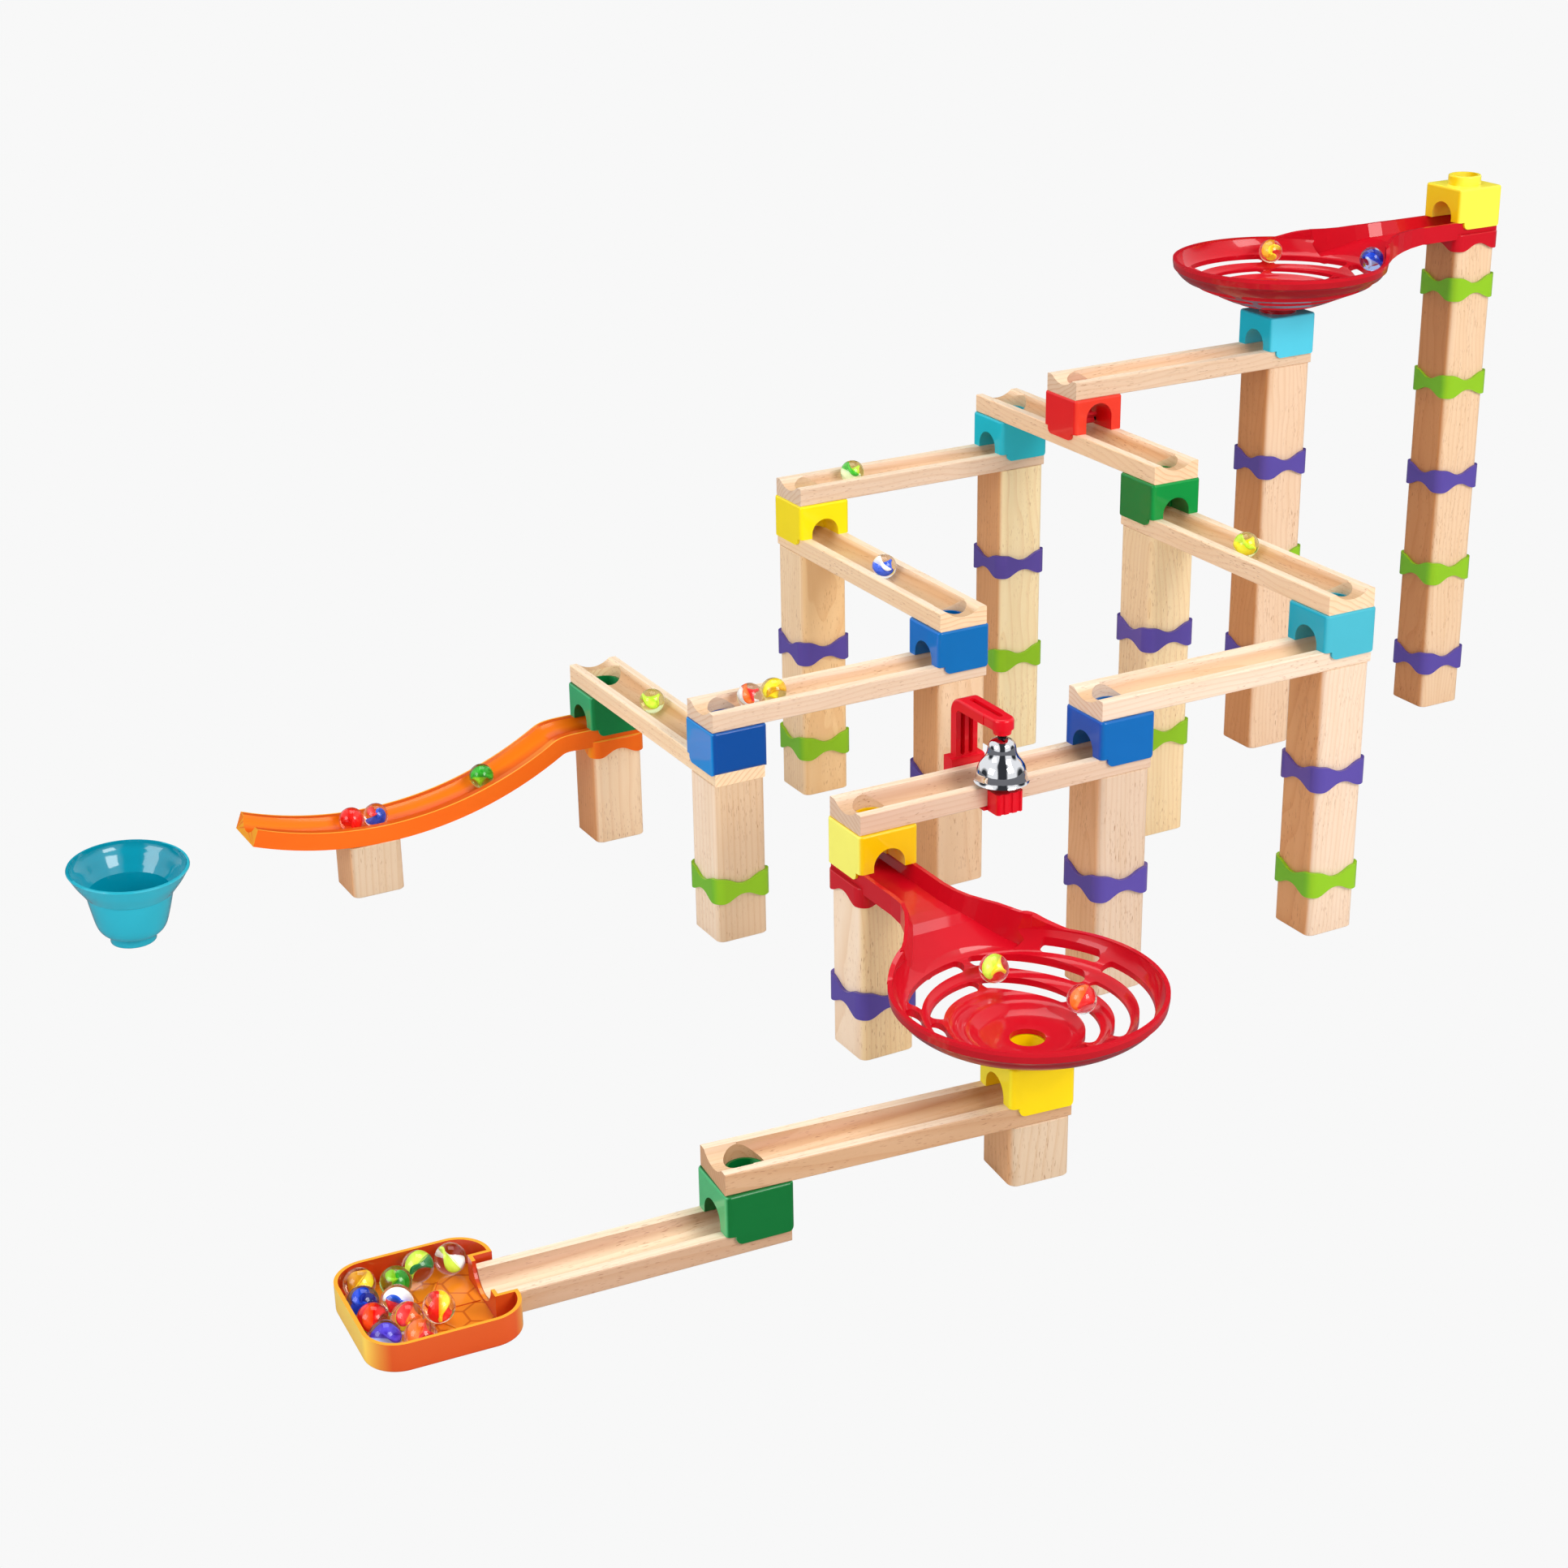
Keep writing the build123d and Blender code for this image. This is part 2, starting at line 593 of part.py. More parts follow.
# ================================================================ slide
def slide_profile():
    # side view: level start, a short crest, then one long arc that lifts at the tip
    low = -LEVEL - SLIDE_BASE
    centre_z = low + SLIDE_ARC_R
    crest_slope = degrees(asin((-40.0 - SLIDE_ARC_X) / SLIDE_ARC_R))
    tip = degrees(asin((SLIDE_TIP_X - SLIDE_ARC_X) / SLIDE_ARC_R))
    return low, centre_z, crest_slope, tip


def slide():
    low, centre_z, crest_slope, tip = slide_profile()
    arc_r = SLIDE_ARC_R

    def on_arc(radius, angle):
        return (SLIDE_ARC_X + radius * sin(radians(angle)), centre_z - radius * cos(radians(angle)))

    top_r = arc_r - SLIDE_WALL_H
    bottom_a, bottom_b = on_arc(arc_r, crest_slope), on_arc(arc_r, tip)
    top_a, top_b = on_arc(top_r, crest_slope), on_arc(top_r, tip)
    with BuildPart() as body:
        with BuildSketch(Plane.XZ.offset(-RAIL_W / 2)):
            with BuildLine():
                ThreePointArc(bottom_b, on_arc(arc_r, (crest_slope + tip) / 2), bottom_a)
                Spline(bottom_a, (SLIDE_FLAT + 4, 0), tangents=((cos(radians(crest_slope)), sin(radians(crest_slope))), (1, 0)))
                Polyline((SLIDE_FLAT + 4, 0), (BLOCK / 2, 0), (BLOCK / 2, RAIL_T), (SLIDE_FLAT + 1, RAIL_T))
                Spline((SLIDE_FLAT + 1, RAIL_T), top_a, tangents=((-1, 0), (-cos(radians(crest_slope)), -sin(radians(crest_slope)))))
                ThreePointArc(top_a, on_arc(top_r, (crest_slope + tip) / 2), top_b)
                Line(top_b, bottom_b)
            make_face()
        extrude(amount=RAIL_W)
        # round groove along the whole run
        groove_r = arc_r - SLIDE_WALL_H + SLIDE_GROOVE_D - SLIDE_GROOVE_R
        g_a, g_b = on_arc(groove_r, crest_slope), on_arc(groove_r, tip - 1.0)
        flat_z = RAIL_T - SLIDE_GROOVE_D + SLIDE_GROOVE_R
        with BuildLine(Plane.XZ) as run:
            Line((BORE_R, flat_z), (SLIDE_FLAT, flat_z))
            Spline((SLIDE_FLAT, flat_z), g_a, tangents=((-1, 0), (-cos(radians(crest_slope)), -sin(radians(crest_slope)))))
            ThreePointArc(g_a, on_arc(groove_r, (crest_slope + tip) / 2), g_b)
        with BuildSketch(Plane(origin=(BORE_R, 0, flat_z), z_dir=(-1, 0, 0))):
            Circle(SLIDE_GROOVE_R)
        sweep(path=run.wire(), mode=Mode.SUBTRACT)
        # flat where it rests on its block
        with BuildSketch(Plane.XY.offset(-LEVEL)):
            with Locations((SLIDE_ARC_X, 0)):
                Rectangle(80, RAIL_W + 2)
        extrude(amount=-5, mode=Mode.SUBTRACT)
        add(TOWER_PLATE)
    return body.part


save(at(J, 2 * LEVEL) * slide(), "slide")


# ================================================================ catch tray
def tray():
    gate_x = TRAY / 2 - TRAY_GATE_DEPTH
    with BuildPart() as body:
        with BuildSketch(Plane.XY):
            RectangleRounded(TRAY, TRAY, TRAY_R)
        extrude(amount=TRAY_H)
        fillet(body.faces().sort_by(Axis.Z)[0].edges(), 1.5)
        with BuildSketch(Plane.XY.offset(TRAY_FLOOR)):
            inner = TRAY - 2 * TRAY_WALL
            RectangleRounded(inner, inner, TRAY_R - TRAY_WALL)
        extrude(amount=TRAY_H, mode=Mode.SUBTRACT)
        # walls of the recess that takes the end of the last rail
        with BuildSketch(Plane.XY.offset(TRAY_FLOOR)):
            with Locations((gate_x - TRAY_WALL + (TRAY_GATE_DEPTH + TRAY_WALL) / 2 - 0.5, 0)):
                Rectangle(TRAY_GATE_DEPTH + TRAY_WALL - 1.0, TRAY_GATE + 2 * TRAY_WALL)
        extrude(amount=TRAY_H - TRAY_FLOOR)
        with BuildSketch(Plane.XY.offset(-1)):
            with Locations((gate_x + TRAY_GATE_DEPTH / 2 + 1, 0)):
                Rectangle(TRAY_GATE_DEPTH + 2, TRAY_GATE)
        extrude(amount=TRAY_H + 2, mode=Mode.SUBTRACT)
        # round notch that the marbles roll in through
        with BuildSketch(Plane.YZ.offset(gate_x - TRAY_WALL - 2)):
            with Locations((0, RAIL_T - GROOVE_LOW + 13.5)):
                Circle(14.0)
        extrude(amount=TRAY_WALL + 4, mode=Mode.SUBTRACT)
        # raised lines on the floor: a six-sided cell with spokes
        with BuildSketch(Plane.XY.offset(TRAY_FLOOR - 0.2)):
            with Locations((-2, 0)):
                RegularPolygon(13.0, 6)
                RegularPolygon(13.0 - RIB_W, 6, mode=Mode.SUBTRACT)
            with Locations((-2, 0)):
                with PolarLocations(12.0 + 8.0, 6):
                    Rectangle(16.5, RIB_W)
        extrude(amount=RIB_H + 0.2)
    return body.part


outlet = radians(180 + OUTLET_TURN)
tray_reach = RAIL_11_REACH + TRAY_OFFSET
TRAY_AT = (Q[0] + tray_reach * cos(outlet), Q[1] + tray_reach * sin(outlet))
save(at(TRAY_AT, 0, OUTLET_TURN) * tray(), "tray")


# ================================================================ catch cup
def cup():
    foot_h = 6.5
    h = CUP_H
    # body, a small step, and the flared band up to the lip
    out_line = ((CUP_FOOT_R + 1.4, foot_h), (18.8, foot_h + 1.4), (21.4, foot_h + 5.0), (23.3, 17.6),
                (24.9, 24.4), (26.2, 30.6), (26.9, 34.2))
    out_flare = ((27.9, 34.9), (29.6, 37.4), (32.2, 41.0), (34.6, 44.8), (36.4, h - 3.2), (CUP_R, h - 0.9))
    in_flare = ((CUP_R - 2.0, h - 1.0), (34.4, h - 4.4), (32.4, 44.4), (30.0, 40.8), (27.4, 37.2))
    in_line = ((25.2, 34.4), (24.3, 30.6), (23.0, 24.6), (21.4, 18.0), (19.2, foot_h + 6.0),
               (14.0, foot_h + 2.6), (0, foot_h + 2.0))
    with BuildPart() as bowl_part:
        with BuildSketch(Plane.XZ):
            with BuildLine():
                Polyline((0, foot_h - 1.5), (CUP_FOOT_R - 1, foot_h - 1.5), out_line[0])
                Spline(*out_line)
                Line(out_line[-1], out_flare[0])
                Spline(*out_flare)
                Polyline(out_flare[-1], (CUP_R - 0.4, h), (CUP_R - 1.8, h), in_flare[0])
                Spline(*in_flare)
                Line(in_flare[-1], in_line[0])
                Spline(*in_line)
                Line(in_line[-1], (0, foot_h - 1.5))
            make_face()
        revolve(axis=Axis.Z)
    with BuildPart() as body:
        with BuildSketch(Plane.XY):
            Circle(CUP_FOOT_R)
        extrude(amount=foot_h)
        fillet(body.faces().sort_by(Axis.Z)[0].edges(), 0.8)
        with BuildSketch(Plane.XY.offset(-1)):
            Circle(CUP_FOOT_R - 2.2)
        extrude(amount=foot_h - 1, mode=Mode.SUBTRACT)
        lean = Location((0, 0, foot_h)) * Rotation(CUP_LEAN * 0.9, CUP_LEAN * 0.4, 0) * Location((0, 0, -foot_h))
        add(lean * bowl_part.part)
    return body.part


save(at((Q[0] - CUP_X, Q[1] + CUP_Y), 0) * cup(), "cup")


# ================================================================ bell
BELL_POINT = (N[0] + BELL_AT, N[1])


def bracket():
    rail_side = RAIL_W / 2 + BRACKET_FIT
    with BuildPart() as body:
        # side view: block in front, strap under the rail, column behind, arm over the top
        with BuildSketch(Plane.YZ.offset(-11.0)):
            with BuildLine():
                Polyline((-27.9, -2.3), (26.0, -2.3), (26.0, ARM_TOP - 9.0))
                RadiusArc((26.0, ARM_TOP - 9.0), (17.0, ARM_TOP), -9.0)
                Polyline((17.0, ARM_TOP), (BELL_SIDE - 8.0, ARM_TOP), (BELL_SIDE - 8.0, ARM_TOP - ARM_T),
                         (17.0, ARM_TOP - ARM_T), (19.0, ARM_TOP - ARM_T - 2.0), (19.0, 17.0),
                         (rail_side, 16.5), (rail_side, -0.1), (-rail_side, -0.1), (-rail_side, BRACKET_FRONT),
                         (-27.9, BRACKET_FRONT), (-27.9, -2.3))
            make_face()
        extrude(amount=22.0)
        # plan: wide foot, narrower column and arm, round end
        with BuildSketch(Plane.XY.offset(17.0)):
            with Locations((0, 8.5)):
                Rectangle(2 * COLUMN_HALF, 35.1)
            with BuildLine():
                Polyline((-COLUMN_HALF, 8), (-ARM_HALF, BELL_SIDE), (ARM_HALF, BELL_SIDE), (COLUMN_HALF, 8),
                         close=True)
            make_face()
            with Locations((0, BELL_SIDE)):
                Circle(ARM_HALF)
        keep = extrude(amount=60, mode=Mode.PRIVATE)
        with BuildSketch(Plane.XY.offset(-3.0)):
            with Locations((0, 0)):
                Rectangle(22.0, 60.0)
        low = extrude(amount=20.0, mode=Mode.PRIVATE)
        add(keep + low, mode=Mode.INTERSECT)
        # corners of the front block
        with BuildSketch(Plane.XY.offset(-3.0)):
            for side in (-1, 1):
                with Locations((side * 10.0, -23.0)):
                    Rectangle(2.6, 12.0)
        extrude(amount=20.0, mode=Mode.SUBTRACT)
        front = body.faces().filter_by(Axis.Y).sort_by(Axis.Y)[0]
        fillet(front.edges().filter_by(Axis.Z), 2.4)
        # upright flutes on the front block
        with BuildSketch(Plane.XY.offset(-3.0)):
            for x in (-5.2, 0, 5.2):
                with Locations((x, -28.3)):
                    Circle(1.3)
        extrude(amount=20.0, mode=Mode.SUBTRACT)
        # two long slots in the column
        with BuildSketch(Plane.XZ.offset(-18.0)):
            for x in (-2.7, 2.7):
                with Locations((x, 31.5)):
                    SlotOverall(28.0, 2.9, rotation=90)
        extrude(amount=-4.5, mode=Mode.SUBTRACT)
        edges = body.edges().filter_by(lambda e: e.center().Z > ARM_TOP - 0.1)
        fillet(edges, 1.8)
        # groove along the top of the arm, with a small hole at its end
        with BuildSketch(Plane.XY.offset(ARM_TOP + 1)):
            with Locations((0, -1.0)):
                SlotOverall(32.0, 3.6, rotation=90)
        extrude(amount=-3.2, mode=Mode.SUBTRACT)
        # knob that holds the hanging pin
        with BuildSketch(Plane.XY.offset(ARM_TOP - ARM_T + 0.5)):
            with Locations((0, BELL_SIDE)):
                Circle(5.6)
        extrude(amount=-(ARM_TOP - ARM_T + 0.5 - PIVOT_Z + 1.4), taper=8)
        # slot for the eye of the bell, and the bore for its pin
        with BuildSketch(Plane.XY.offset(PIVOT_Z - 4)):
            with Locations((0, BELL_SIDE)):
                Rectangle(2.4, 8.0)
        extrude(amount=4 + 2.4, mode=Mode.SUBTRACT)
        with Locations(Location((0, BELL_SIDE, PIVOT_Z), (0, 90, 0))):
            Cylinder(0.8, 8.0, mode=Mode.SUBTRACT)
    return body.part


bell_place = at(BELL_POINT, 4 * LEVEL)
save(bell_place * bracket(), "bell_bracket")

with BuildPart() as bell_pin_body:
    with Locations(Location((0, BELL_SIDE, PIVOT_Z), (0, 90, 0))):
        Cylinder(0.78, 7.0)
save(bell_place * bell_pin_body.part, "bell_pin")

BELL_TOP = BELL_RIM + BELL_H
with BuildPart() as eye_body:
    # wire eye: a flat ring round the pin on a short stem through the bell's crown
    with BuildSketch(Plane.YZ.offset(-0.7)):
        with Locations((BELL_SIDE, PIVOT_Z)):
            Circle(2.1)
        with Locations((BELL_SIDE, (PIVOT_Z - 1.6 + BELL_TOP - 2.4) / 2)):
            Rectangle(1.3, PIVOT_Z - 1.6 - BELL_TOP + 2.4)
        with Locations((BELL_SIDE, PIVOT_Z)):
            Circle(1.15, mode=Mode.SUBTRACT)
    extrude(amount=1.4)
    with BuildSketch(Plane.XY.offset(BELL_TOP - BELL_WALL - 1.7)):
        with Locations((0, BELL_SIDE)):
            Circle(2.2)
    extrude(amount=0.85)
    # washer on the crown
    with BuildSketch(Plane.XY.offset(BELL_TOP + 0.1)):
        with Locations((0, BELL_SIDE)):
            Circle(2.6)
    extrude(amount=0.6)
save(bell_place * eye_body.part, "bell_hook")

with BuildPart() as bell_body:
    outer = ((BELL_R, 0.0), (14.9, 1.4), (14.4, 4.5), (13.8, 7.6), (12.2, 11.0), (9.9, 14.0), (8.5, 17.0),
             (8.0, 20.0), (6.9, 22.9), (4.4, 24.8), (1.0, BELL_H))
    with BuildSketch(Plane.XZ):
        with BuildLine():
            Spline(*outer)
            Line(outer[-1], (1.0, BELL_H - BELL_WALL))
            Spline((1.0, BELL_H - BELL_WALL), (4.0, 23.7), (6.1, 22.2), (7.0, 19.8), (7.5, 16.7), (8.9, 13.5),
                   (11.2, 10.4), (12.8, 7.2), (13.4, 4.3), (13.9, 1.4), (BELL_R - BELL_WALL, 0.0))
            Line((BELL_R - BELL_WALL, 0.0), outer[0])
        make_face()
    revolve(axis=Axis.Z)
save(bell_place * Location((0, BELL_SIDE, BELL_RIM)) * bell_body.part, "bell")


# ================================================================ marbles
def marble():
    with BuildPart() as ball:
        Sphere(MARBLE_R)
    return ball.part


MARBLE = marble()


def rail_marbles(name, point, level, turn, distances, pitch):
    balls = []
    for s in distances:
        depth = GROOVE_HIGH + (GROOVE_LOW - GROOVE_HIGH) * (s + BORE_R) / (pitch + BORE_R)
        local = Location((s, 0, RAIL_T - depth + ROLL_GAP + MARBLE_R))
        balls.append(at(point, level * LEVEL, turn) * local * MARBLE)
    save(Compound(children=balls) if len(balls) > 1 else balls[0], name)


rail_marbles("marble_rail_3", E, 6, -90, (92.0,), PITCH_Y)
rail_marbles("marble_rail_4", D, 6, 180, (127.0,), PITCH_X)
rail_marbles("marble_rail_5", G, 5, -90, (97.0,), PITCH_Y)
rail_marbles("marbles_rail_6", H, 4, 180, (125.6, 142.2), PITCH_X)
rail_marbles("marble_rail_7", I, 3, 90, (104.0,), PITCH_Y)


def slide_marbles(name, angles):
    _, centre_z, _, _ = slide_profile()
    floor_r = SLIDE_ARC_R - SLIDE_WALL_H + SLIDE_GROOVE_D
    r = floor_r - ROLL_GAP - MARBLE_R
    balls = []
    for angle in angles:
        local = Location((SLIDE_ARC_X + r * sin(radians(angle)), 0, centre_z - r * cos(radians(angle))))
        balls.append(at(J, 2 * LEVEL) * local * MARBLE)
    save(Compound(children=balls) if len(balls) > 1 else balls[0], name)


slide_marbles("marble_slide_upper", (18.4,))
slide_marbles("marbles_slide_lower", (-4.4, -0.3))


def rest_height(radius, clearance):
    # lowest centre of a marble over the stepped bowl at this radius
    reach = MARBLE_R + clearance
    heights = []
    for step in range(-35, 36):
        offset = step * 0.25
        if abs(offset) < reach and radius + offset < BOWL_LINE[-1][0]:
            lift = sqrt(reach * reach - offset * offset)
            heights.append(bowl_radius_floor(radius + offset) + lift)
    return max(heights)


def funnel_marbles(name, place, spots):
    balls = []
    for radius, angle in spots:
        z = rest_height(radius, 2 * ROLL_GAP)
        local = Location((radius * cos(radians(angle)), radius * sin(radians(angle)), z))
        balls.append(place * local * MARBLE)
    save(Compound(children=balls), name)


funnel_marbles("marbles_funnel_1", at(B, 10 * LEVEL), ((52.0, 59.0), (61.0, -36.0)))
funnel_marbles("marbles_funnel_2", at(P, 3 * LEVEL, 90), ((44.0, -9.0), (33.0, -91.0)))

TRAY_MARBLES = ((-26, 26.8), (-29.2, 10.8), (-29.2, -5.6), (-28.3, -22.2), (-13, -29), (-14, -12),
                (-14, 4.5), (-9.5, 20.5), (4.5, 29), (21, 28.5), (2.5, -9.5))
tray_balls = []
for x, y in TRAY_MARBLES:
    spot = Location((x, y, TRAY_FLOOR + RIB_H + ROLL_GAP + MARBLE_R))
    tray_balls.append(at(TRAY_AT, 0, OUTLET_TURN) * spot * MARBLE)
save(Compound(children=tray_balls), "tray_marbles")
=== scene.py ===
import json
import math
import random

import bmesh
import bpy
from mathutils import Matrix, Vector


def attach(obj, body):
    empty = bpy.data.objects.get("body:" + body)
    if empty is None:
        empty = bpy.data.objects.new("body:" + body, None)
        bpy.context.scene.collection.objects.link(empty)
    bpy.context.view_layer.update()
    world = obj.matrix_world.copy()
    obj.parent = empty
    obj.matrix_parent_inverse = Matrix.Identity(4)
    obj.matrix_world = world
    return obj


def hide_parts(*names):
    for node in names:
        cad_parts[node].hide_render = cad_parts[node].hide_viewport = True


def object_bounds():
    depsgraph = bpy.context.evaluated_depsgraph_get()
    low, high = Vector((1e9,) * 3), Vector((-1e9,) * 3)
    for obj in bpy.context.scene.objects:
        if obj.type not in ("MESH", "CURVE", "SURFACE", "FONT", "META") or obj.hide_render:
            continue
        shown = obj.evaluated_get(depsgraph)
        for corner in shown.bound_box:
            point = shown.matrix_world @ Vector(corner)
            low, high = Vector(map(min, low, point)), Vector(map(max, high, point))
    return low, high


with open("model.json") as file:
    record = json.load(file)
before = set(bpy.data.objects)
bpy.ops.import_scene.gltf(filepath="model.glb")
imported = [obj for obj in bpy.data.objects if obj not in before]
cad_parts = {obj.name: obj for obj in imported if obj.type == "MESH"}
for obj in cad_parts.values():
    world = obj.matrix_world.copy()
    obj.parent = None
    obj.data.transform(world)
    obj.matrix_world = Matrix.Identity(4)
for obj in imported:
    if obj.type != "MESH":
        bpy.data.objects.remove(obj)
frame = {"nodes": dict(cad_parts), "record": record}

CAD_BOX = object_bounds()
NODES = frame["nodes"]
BODY_OF_NODE = {
    node: body
    for body, nodes in frame["record"]["behaviour"]["bodies"].items()
    for node in nodes}


def linear(r, g, b):
    """The shader colour for 0-255 display values."""
    def one(v):
        v /= 255.0
        return v / 12.92 if v <= 0.04045 else ((v + 0.055) / 1.055) ** 2.4
    return (one(r), one(g), one(b), 1.0)


# ---------------------------------------------------------------- shader building
class Value:
    """A shader socket that takes part in sums."""

    def __init__(self, shader, socket):
        self.shader, self.socket = shader, socket

    def _math(self, operation, *others):
        node = self.shader.nodes.new("ShaderNodeMath")
        node.operation = operation
        for slot, item in zip(node.inputs, (self,) + others):
            self.shader.feed(slot, item)
        return Value(self.shader, node.outputs[0])

    def __add__(self, other): return self._math("ADD", other)
    def __sub__(self, other): return self._math("SUBTRACT", other)
    def __mul__(self, other): return self._math("MULTIPLY", other)
    def __truediv__(self, other): return self._math("DIVIDE", other)
    def under(self, other): return self._math("LESS_THAN", other)
    def size(self): return self._math("ABSOLUTE")
    def part(self): return self._math("FRACT")
    def root(self): return self._math("SQRT")
    def least(self, other): return self._math("MINIMUM", other)
    def most(self, other): return self._math("MAXIMUM", other)

    def ramp(self, low, high):
        """0 at low, 1 at high, held outside."""
        node = self.shader.make(
            "ShaderNodeMapRange", {"Value": self, "From Min": low, "From Max": high})
        return Value(self.shader, node.outputs[0])


class Tree:
    """The nodes of a material or of the world."""

    def __init__(self, tree):
        self.nodes, self.links = tree.nodes, tree.links

    def feed(self, slot, item):
        """Put a Value, an output socket or a plain value into an input."""
        if isinstance(item, Value):
            self.links.new(item.socket, slot)
        elif hasattr(item, "is_output"):
            self.links.new(item, slot)
        else:
            slot.default_value = item

    def make(self, kind, inputs, **settings):
        """A new node with its settings made and its inputs fed."""
        node = self.nodes.new(kind)
        for key, value in settings.items():
            setattr(node, key, value)
        for key, value in inputs.items():
            self.feed(node.inputs[key], value)
        return node

    def split(self, vector):
        """The three parts of a vector."""
        node = self.make("ShaderNodeSeparateXYZ", {"Vector": vector})
        return [Value(self, node.outputs[i]) for i in range(3)]

    def rays(self, *kinds):
        """1 on rays of one kind, or of either of two."""
        node = self.make("ShaderNodeLightPath", {})
        found = [Value(self, node.outputs["Is %s Ray" % kind]) for kind in kinds]
        return found[0] if len(found) == 1 else found[0].most(found[1])

    def mix(self, factor, a, b, blend_type="MIX"):
        """Mix two colours. The node's colour sockets come after those for numbers and vectors."""
        node = self.make("ShaderNodeMix", {}, data_type="RGBA", blend_type=blend_type)
        for slot, item in zip((0, 6, 7), (factor, a, b)):
            self.feed(node.inputs[slot], item)
        return node.outputs[2]

    def blend(self, factor, a, b):
        """Mix two shaders."""
        node = self.make("ShaderNodeMixShader", {})
        for slot, item in zip(node.inputs, (factor, a, b)):
            self.feed(slot, item)
        return node.outputs[0]


PAINTED_SIDE_TURN = (0.3, 0.75)     # size of the normal's y over which the painted tone of an X side becomes that of a Y side
PAINTED_TOP_TURN = (0.12, 0.5)      # square of the normal's level part over which the painted tone of a top becomes that of a side
COMB_LINE = (0.45, 0.48)    # where a hexagon's border line begins and is full


class Shader(Tree):
    """One material. Keywords name inputs of its Principled shader."""

    def __init__(self, name, **principled):
        self.material = bpy.data.materials.new(name)
        self.material.use_nodes = True
        super().__init__(self.material.node_tree)
        self.bsdf = self.nodes["Principled BSDF"]
        for key, value in principled.items():
            socket = key.replace("_", " ").title().replace("Ior", "IOR")
            self.bsdf.inputs[socket].default_value = value

    def place(self):
        """Where a point is in the shared frame, in metres."""
        return self.split(self.make("ShaderNodeTexCoord", {}).outputs["Object"])

    def normal(self):
        """Which way the surface faces."""
        return self.split(self.make("ShaderNodeTexCoord", {}).outputs["Normal"])

    def vector(self, x, y, z):
        return self.make("ShaderNodeCombineXYZ", {"X": x, "Y": y, "Z": z}).outputs[0]

    def noise(self, x, y, z, detail=2.0):
        node = self.make("ShaderNodeTexNoise", {
            "Vector": self.vector(x, y, z), "Scale": 1.0, "Detail": detail})
        return Value(self, node.outputs[0])

    def tint(self, base, by):
        """A colour times another."""
        return self.mix(1.0, base, by, "MULTIPLY")

    def lit_and_shaded_sides(self, nx, ny, x_side_as_lit, y_side_as_lit, top):
        """Painted light and shade: one colour for sides that face X, one for sides that face Y,
        one for the rest.
        """
        sides = self.mix(ny.size().ramp(*PAINTED_SIDE_TURN), x_side_as_lit, y_side_as_lit)
        return self.mix((nx * nx + ny * ny).ramp(*PAINTED_TOP_TURN), top, sides)

    def comb(self, x, y, width):
        """1 on the borders of hexagons that are width across their flats."""
        u, v = x / width, y / (width * math.sqrt(3))
        # the hexagons' centres make two grids of oblongs, half a cell apart
        cells = [((u + shift).part() - 0.5, ((v + shift).part() - 0.5) * math.sqrt(3))
                 for shift in (0.0, 0.5)]
        # how far out a point is from its grid's centre, 0.5 being a hexagon's border
        first, second = [a.size().most(a.size() * 0.5 + b.size() * math.sin(math.pi / 3))
                         for a, b in cells]
        return first.least(second).ramp(*COMB_LINE)

    def colour(self, item):
        self.feed(self.bsdf.inputs["Base Color"], item)


# ---------------------------------------------------------------- wood
# colours that the beech is multiplied by
WOOD_WARM = (0.93, 0.86, 0.76, 1.0)       # the darker bands of the grain
WOOD_LINE = (0.84, 0.68, 0.52, 1.0)       # the line that ends a year's ring
WOOD_FLECK = (0.55, 0.36, 0.25, 1.0)      # the short flecks of beech

# noise is given by its spots in a metre, along the grain and across it
DRIFT_ALONG, DRIFT_ACROSS, DRIFT_SHIFT = 9, 25, 40
BAND_ALONG, BAND_ACROSS, BAND_DETAIL = 16, 170, 3.0
FLECK_ALONG, FLECK_ACROSS, FLECK_SHIFT = 210, 1700, 7.0
PATCH_ALONG, PATCH_ACROSS = 30, 60        # flecks come in patches
BAND_EDGE, FLECK_EDGE, PATCH_EDGE = (0.3, 0.72), (0.63, 0.71), (0.38, 0.58)

RINGS = 330                               # year's rings in a metre of radius
RING_RISE, RING_FALL = (0.55, 0.96), (1.0, 0.97)
RING_WANDER = 1.5                         # rings that the drift shifts
GRAIN_WANDER = 0.012                      # metres that the drift shifts
GRAIN_TILT = 0.16                         # range of the grain's slope
HEART_ASIDE = 0.03                        # range of the tree's heart to the side, m
HEART_BELOW, HEART_RANGE = 0.035, 0.05    # and how far below, m
UP_TILT = 0.6                             # slope upwards against the slope sideways

END_EDGE = (0.75, 0.9)                    # normal along the grain at which a face is end grain
BAND_SHARE, LINE_SHARE, END_LINE_SHARE, FLECK_SHARE = 0.5, 0.4, 0.4, 0.75
# painted shade in a milled channel: the depth over which it grows, the normal's z over which it
# takes hold, and its share
GROOVE_SHADE_DEPTH, GROOVE_SHADE_FACING, GROOVE_SHADE_SHARE = (0.0006, 0.0030), (0.05, 0.3), 0.95
LINE_HEIGHT, FLECK_HEIGHT = -0.3, 0.4


